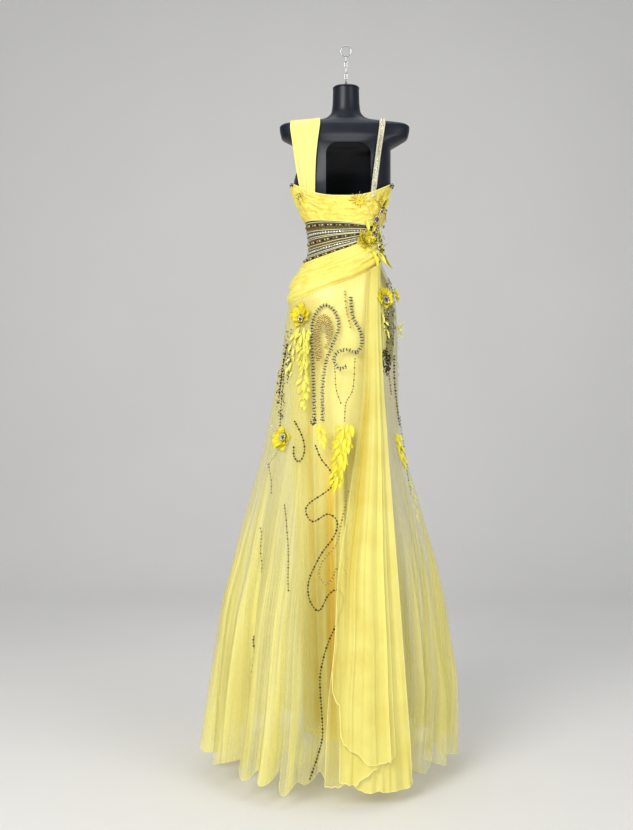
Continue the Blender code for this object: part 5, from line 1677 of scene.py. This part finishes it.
# Rings of petals of the knot's rosette. Columns: radius, how many petals, curl
ROSETTE_RINGS = ((0.028, 12, 0.18), (0.022, 10, 0.40), (0.016, 8, 0.60), (0.010, 6, 0.95))


def make_knot():
    """The gathered knot at the right of the waist, with its leaves, rosette, stones and the rings of beads
    round them.
    """
    for k, (carrier, x, height, across, down, half, lift, curl) in enumerate(KNOT_LEAVES):
        leaf, rib = Pile(), Pile()
        at, side, up, out = spot(carrier, x, height, lift)
        shape = blade(math.hypot(across, down), half, 0.45, curl, 0.3, 0.06, 0.4)
        lay_leaf(leaf, rib, shape, at, unit(side * across - up * down), out, 0.0005)
        leaf.piece(f"knot_leaf_{k}", ["leaf" if k % 3 else "petal"], "petals", KNOT_LEAF_NODES.get(k, []))
        rib.piece(f"knot_rib_{k}", ["hem"], "petals")
    ruffle, stones = Pile(), Pile()
    at, side, up, out = spot("bodice", *ROSETTE, 0.001)
    for ring, (radius, count, curl) in enumerate(ROSETTE_RINGS):
        for k in range(count):
            way = towards(2 * math.pi * (k + 0.37 * ring) / count + 0.15 * math.sin(2.3 * k), side, up)
            long = radius * (1 + 0.22 * math.sin(3.1 * k + ring))
            shape = blade(long, 0.40 * radius, 0.6, curl, 0.85, 0.38, 0.1, 8, 9)
            lay_blade(ruffle, shape, at + out * 0.0014 * ring, way, out, ring % 2)
    ruffle.piece("knot_rosette", ["sash", "petal"], "petals")
    for cloud in KNOT_BEADS:
        bead_cloud(stones, "bodice", *cloud, most=1.3)
    for x, height, size in KNOT_STONES:
        at, side, up, out = spot("bodice", x, height, 0.007)
        stones.scatter(GEM, at, up, out, size, "gem")
        bead_ring(stones, at, 1.25 * size, 9, (side, up, out), 0.3 * size, "silver")
    stones.piece("knot_stones", BEAD_MATERIALS, "beads", smooth=False)


# Bead loops that stand off the cloth: carrier, x, height, how far across, up and out they reach, width
BEAD_LOOPS = scaled((1, 1000, 1000, 1000, 1000, 1000, 1000), (
    ("bodice", 82, 1416, 6, -30, 10, 9), ("bodice", 92, 1398, 18, -14, 12, 10),
    ("bodice", 80, 1352, 14, 16, 12, 6), ("net", 128, 1140, 16, -20, 8, 8), ("net", 130, 1130, 24, 24, 12, 6),
    ("net", -180, 862, -20, 14, 6, 6),
))


def make_loops():
    loops = Pile()
    for carrier, x, height, across, rise, off, width in BEAD_LOOPS:
        at, side, up, out = spot(carrier, x, height, 0.002)
        tip = side * across + up * rise + out * off
        wide = unit(np.cross(unit(tip), out)) * width / 2
        turn = np.linspace(-np.pi, np.pi, 60)[:, None]
        share = 0.5 + 0.5 * np.cos(turn)
        row = even_steps(at + tip * share + wide * np.sin(turn) * (0.25 + 0.75 * share), 0.0026)
        loops.scatter(BEAD, row, unit(np.gradient(row, axis=0)), out, 0.0015, "pearl")
    loops.piece("bead_loops", BEAD_MATERIALS, "beads")


SUNBURST = (0.031, 1.468)  # x and height of the middle of the sunburst on the band
# Its rays of glass tubes. Columns: share of a turn, start and end radius
SUNBURST_RAYS = scaled((100, 1000, 1000), (
    (0, 8, 25), (6, 7, 20), (12, 8, 24), (19, 7, 18), (25, 8, 23), (31, 7, 19), (38, 8, 25), (44, 7, 20),
    (50, 8, 26), (57, 7, 17), (64, 8, 20), (71, 7, 15), (78, 8, 19), (85, 7, 16), (93, 8, 21),
))
SUNBURST_PETALS = 7


def make_sunburst():
    rays, petals = Pile(), Pile()
    x, height = SUNBURST
    for share, start, end in SUNBURST_RAYS:
        turn = 2 * math.pi * share
        middle, half = (start + end) / 2, (end - start) / 2
        ray_x, ray_height = x + middle * math.cos(turn), height + middle * math.sin(turn)
        at, side, up, out = spot("bodice", ray_x, ray_height, 0.0005)
        way = towards(turn, side, up)
        rays.scatter(BUGLE, at, way, out, (half, 0.0008, 0.0008), "gold")
        rays.scatter(BEAD, at + way * (half + 0.0012), way, out, 0.0011, "bronze" if share < 0.5 else "gold")
    at, side, up, out = spot("bodice", x, height, 0.0)
    for k in range(SUNBURST_PETALS):
        way = towards(2 * math.pi * (k + 0.3) / SUNBURST_PETALS, side, up)
        lay_blade(petals, blade(0.013, 0.0042, 0.4, 0.10, 0.5, 0.08, 0.3, 7, 7), at, way, out)
    rays.scatter(BEAD, at + out * 0.0016, side, out, 0.0020, "gold")
    rays.piece("sunburst_rays", BEAD_MATERIALS, "beads", smooth=False)
    petals.piece("sunburst_petals", ["petal"], "petals")


make_camera()
make_stage()
make_form()
make_chain()
make_band()
make_waist()
make_waist_rows()
make_sash()
make_straps()
make_skirts()
make_train()
make_bead_lines()
make_flowers()
make_sprays()
make_knot()
make_loops()
make_sunburst()
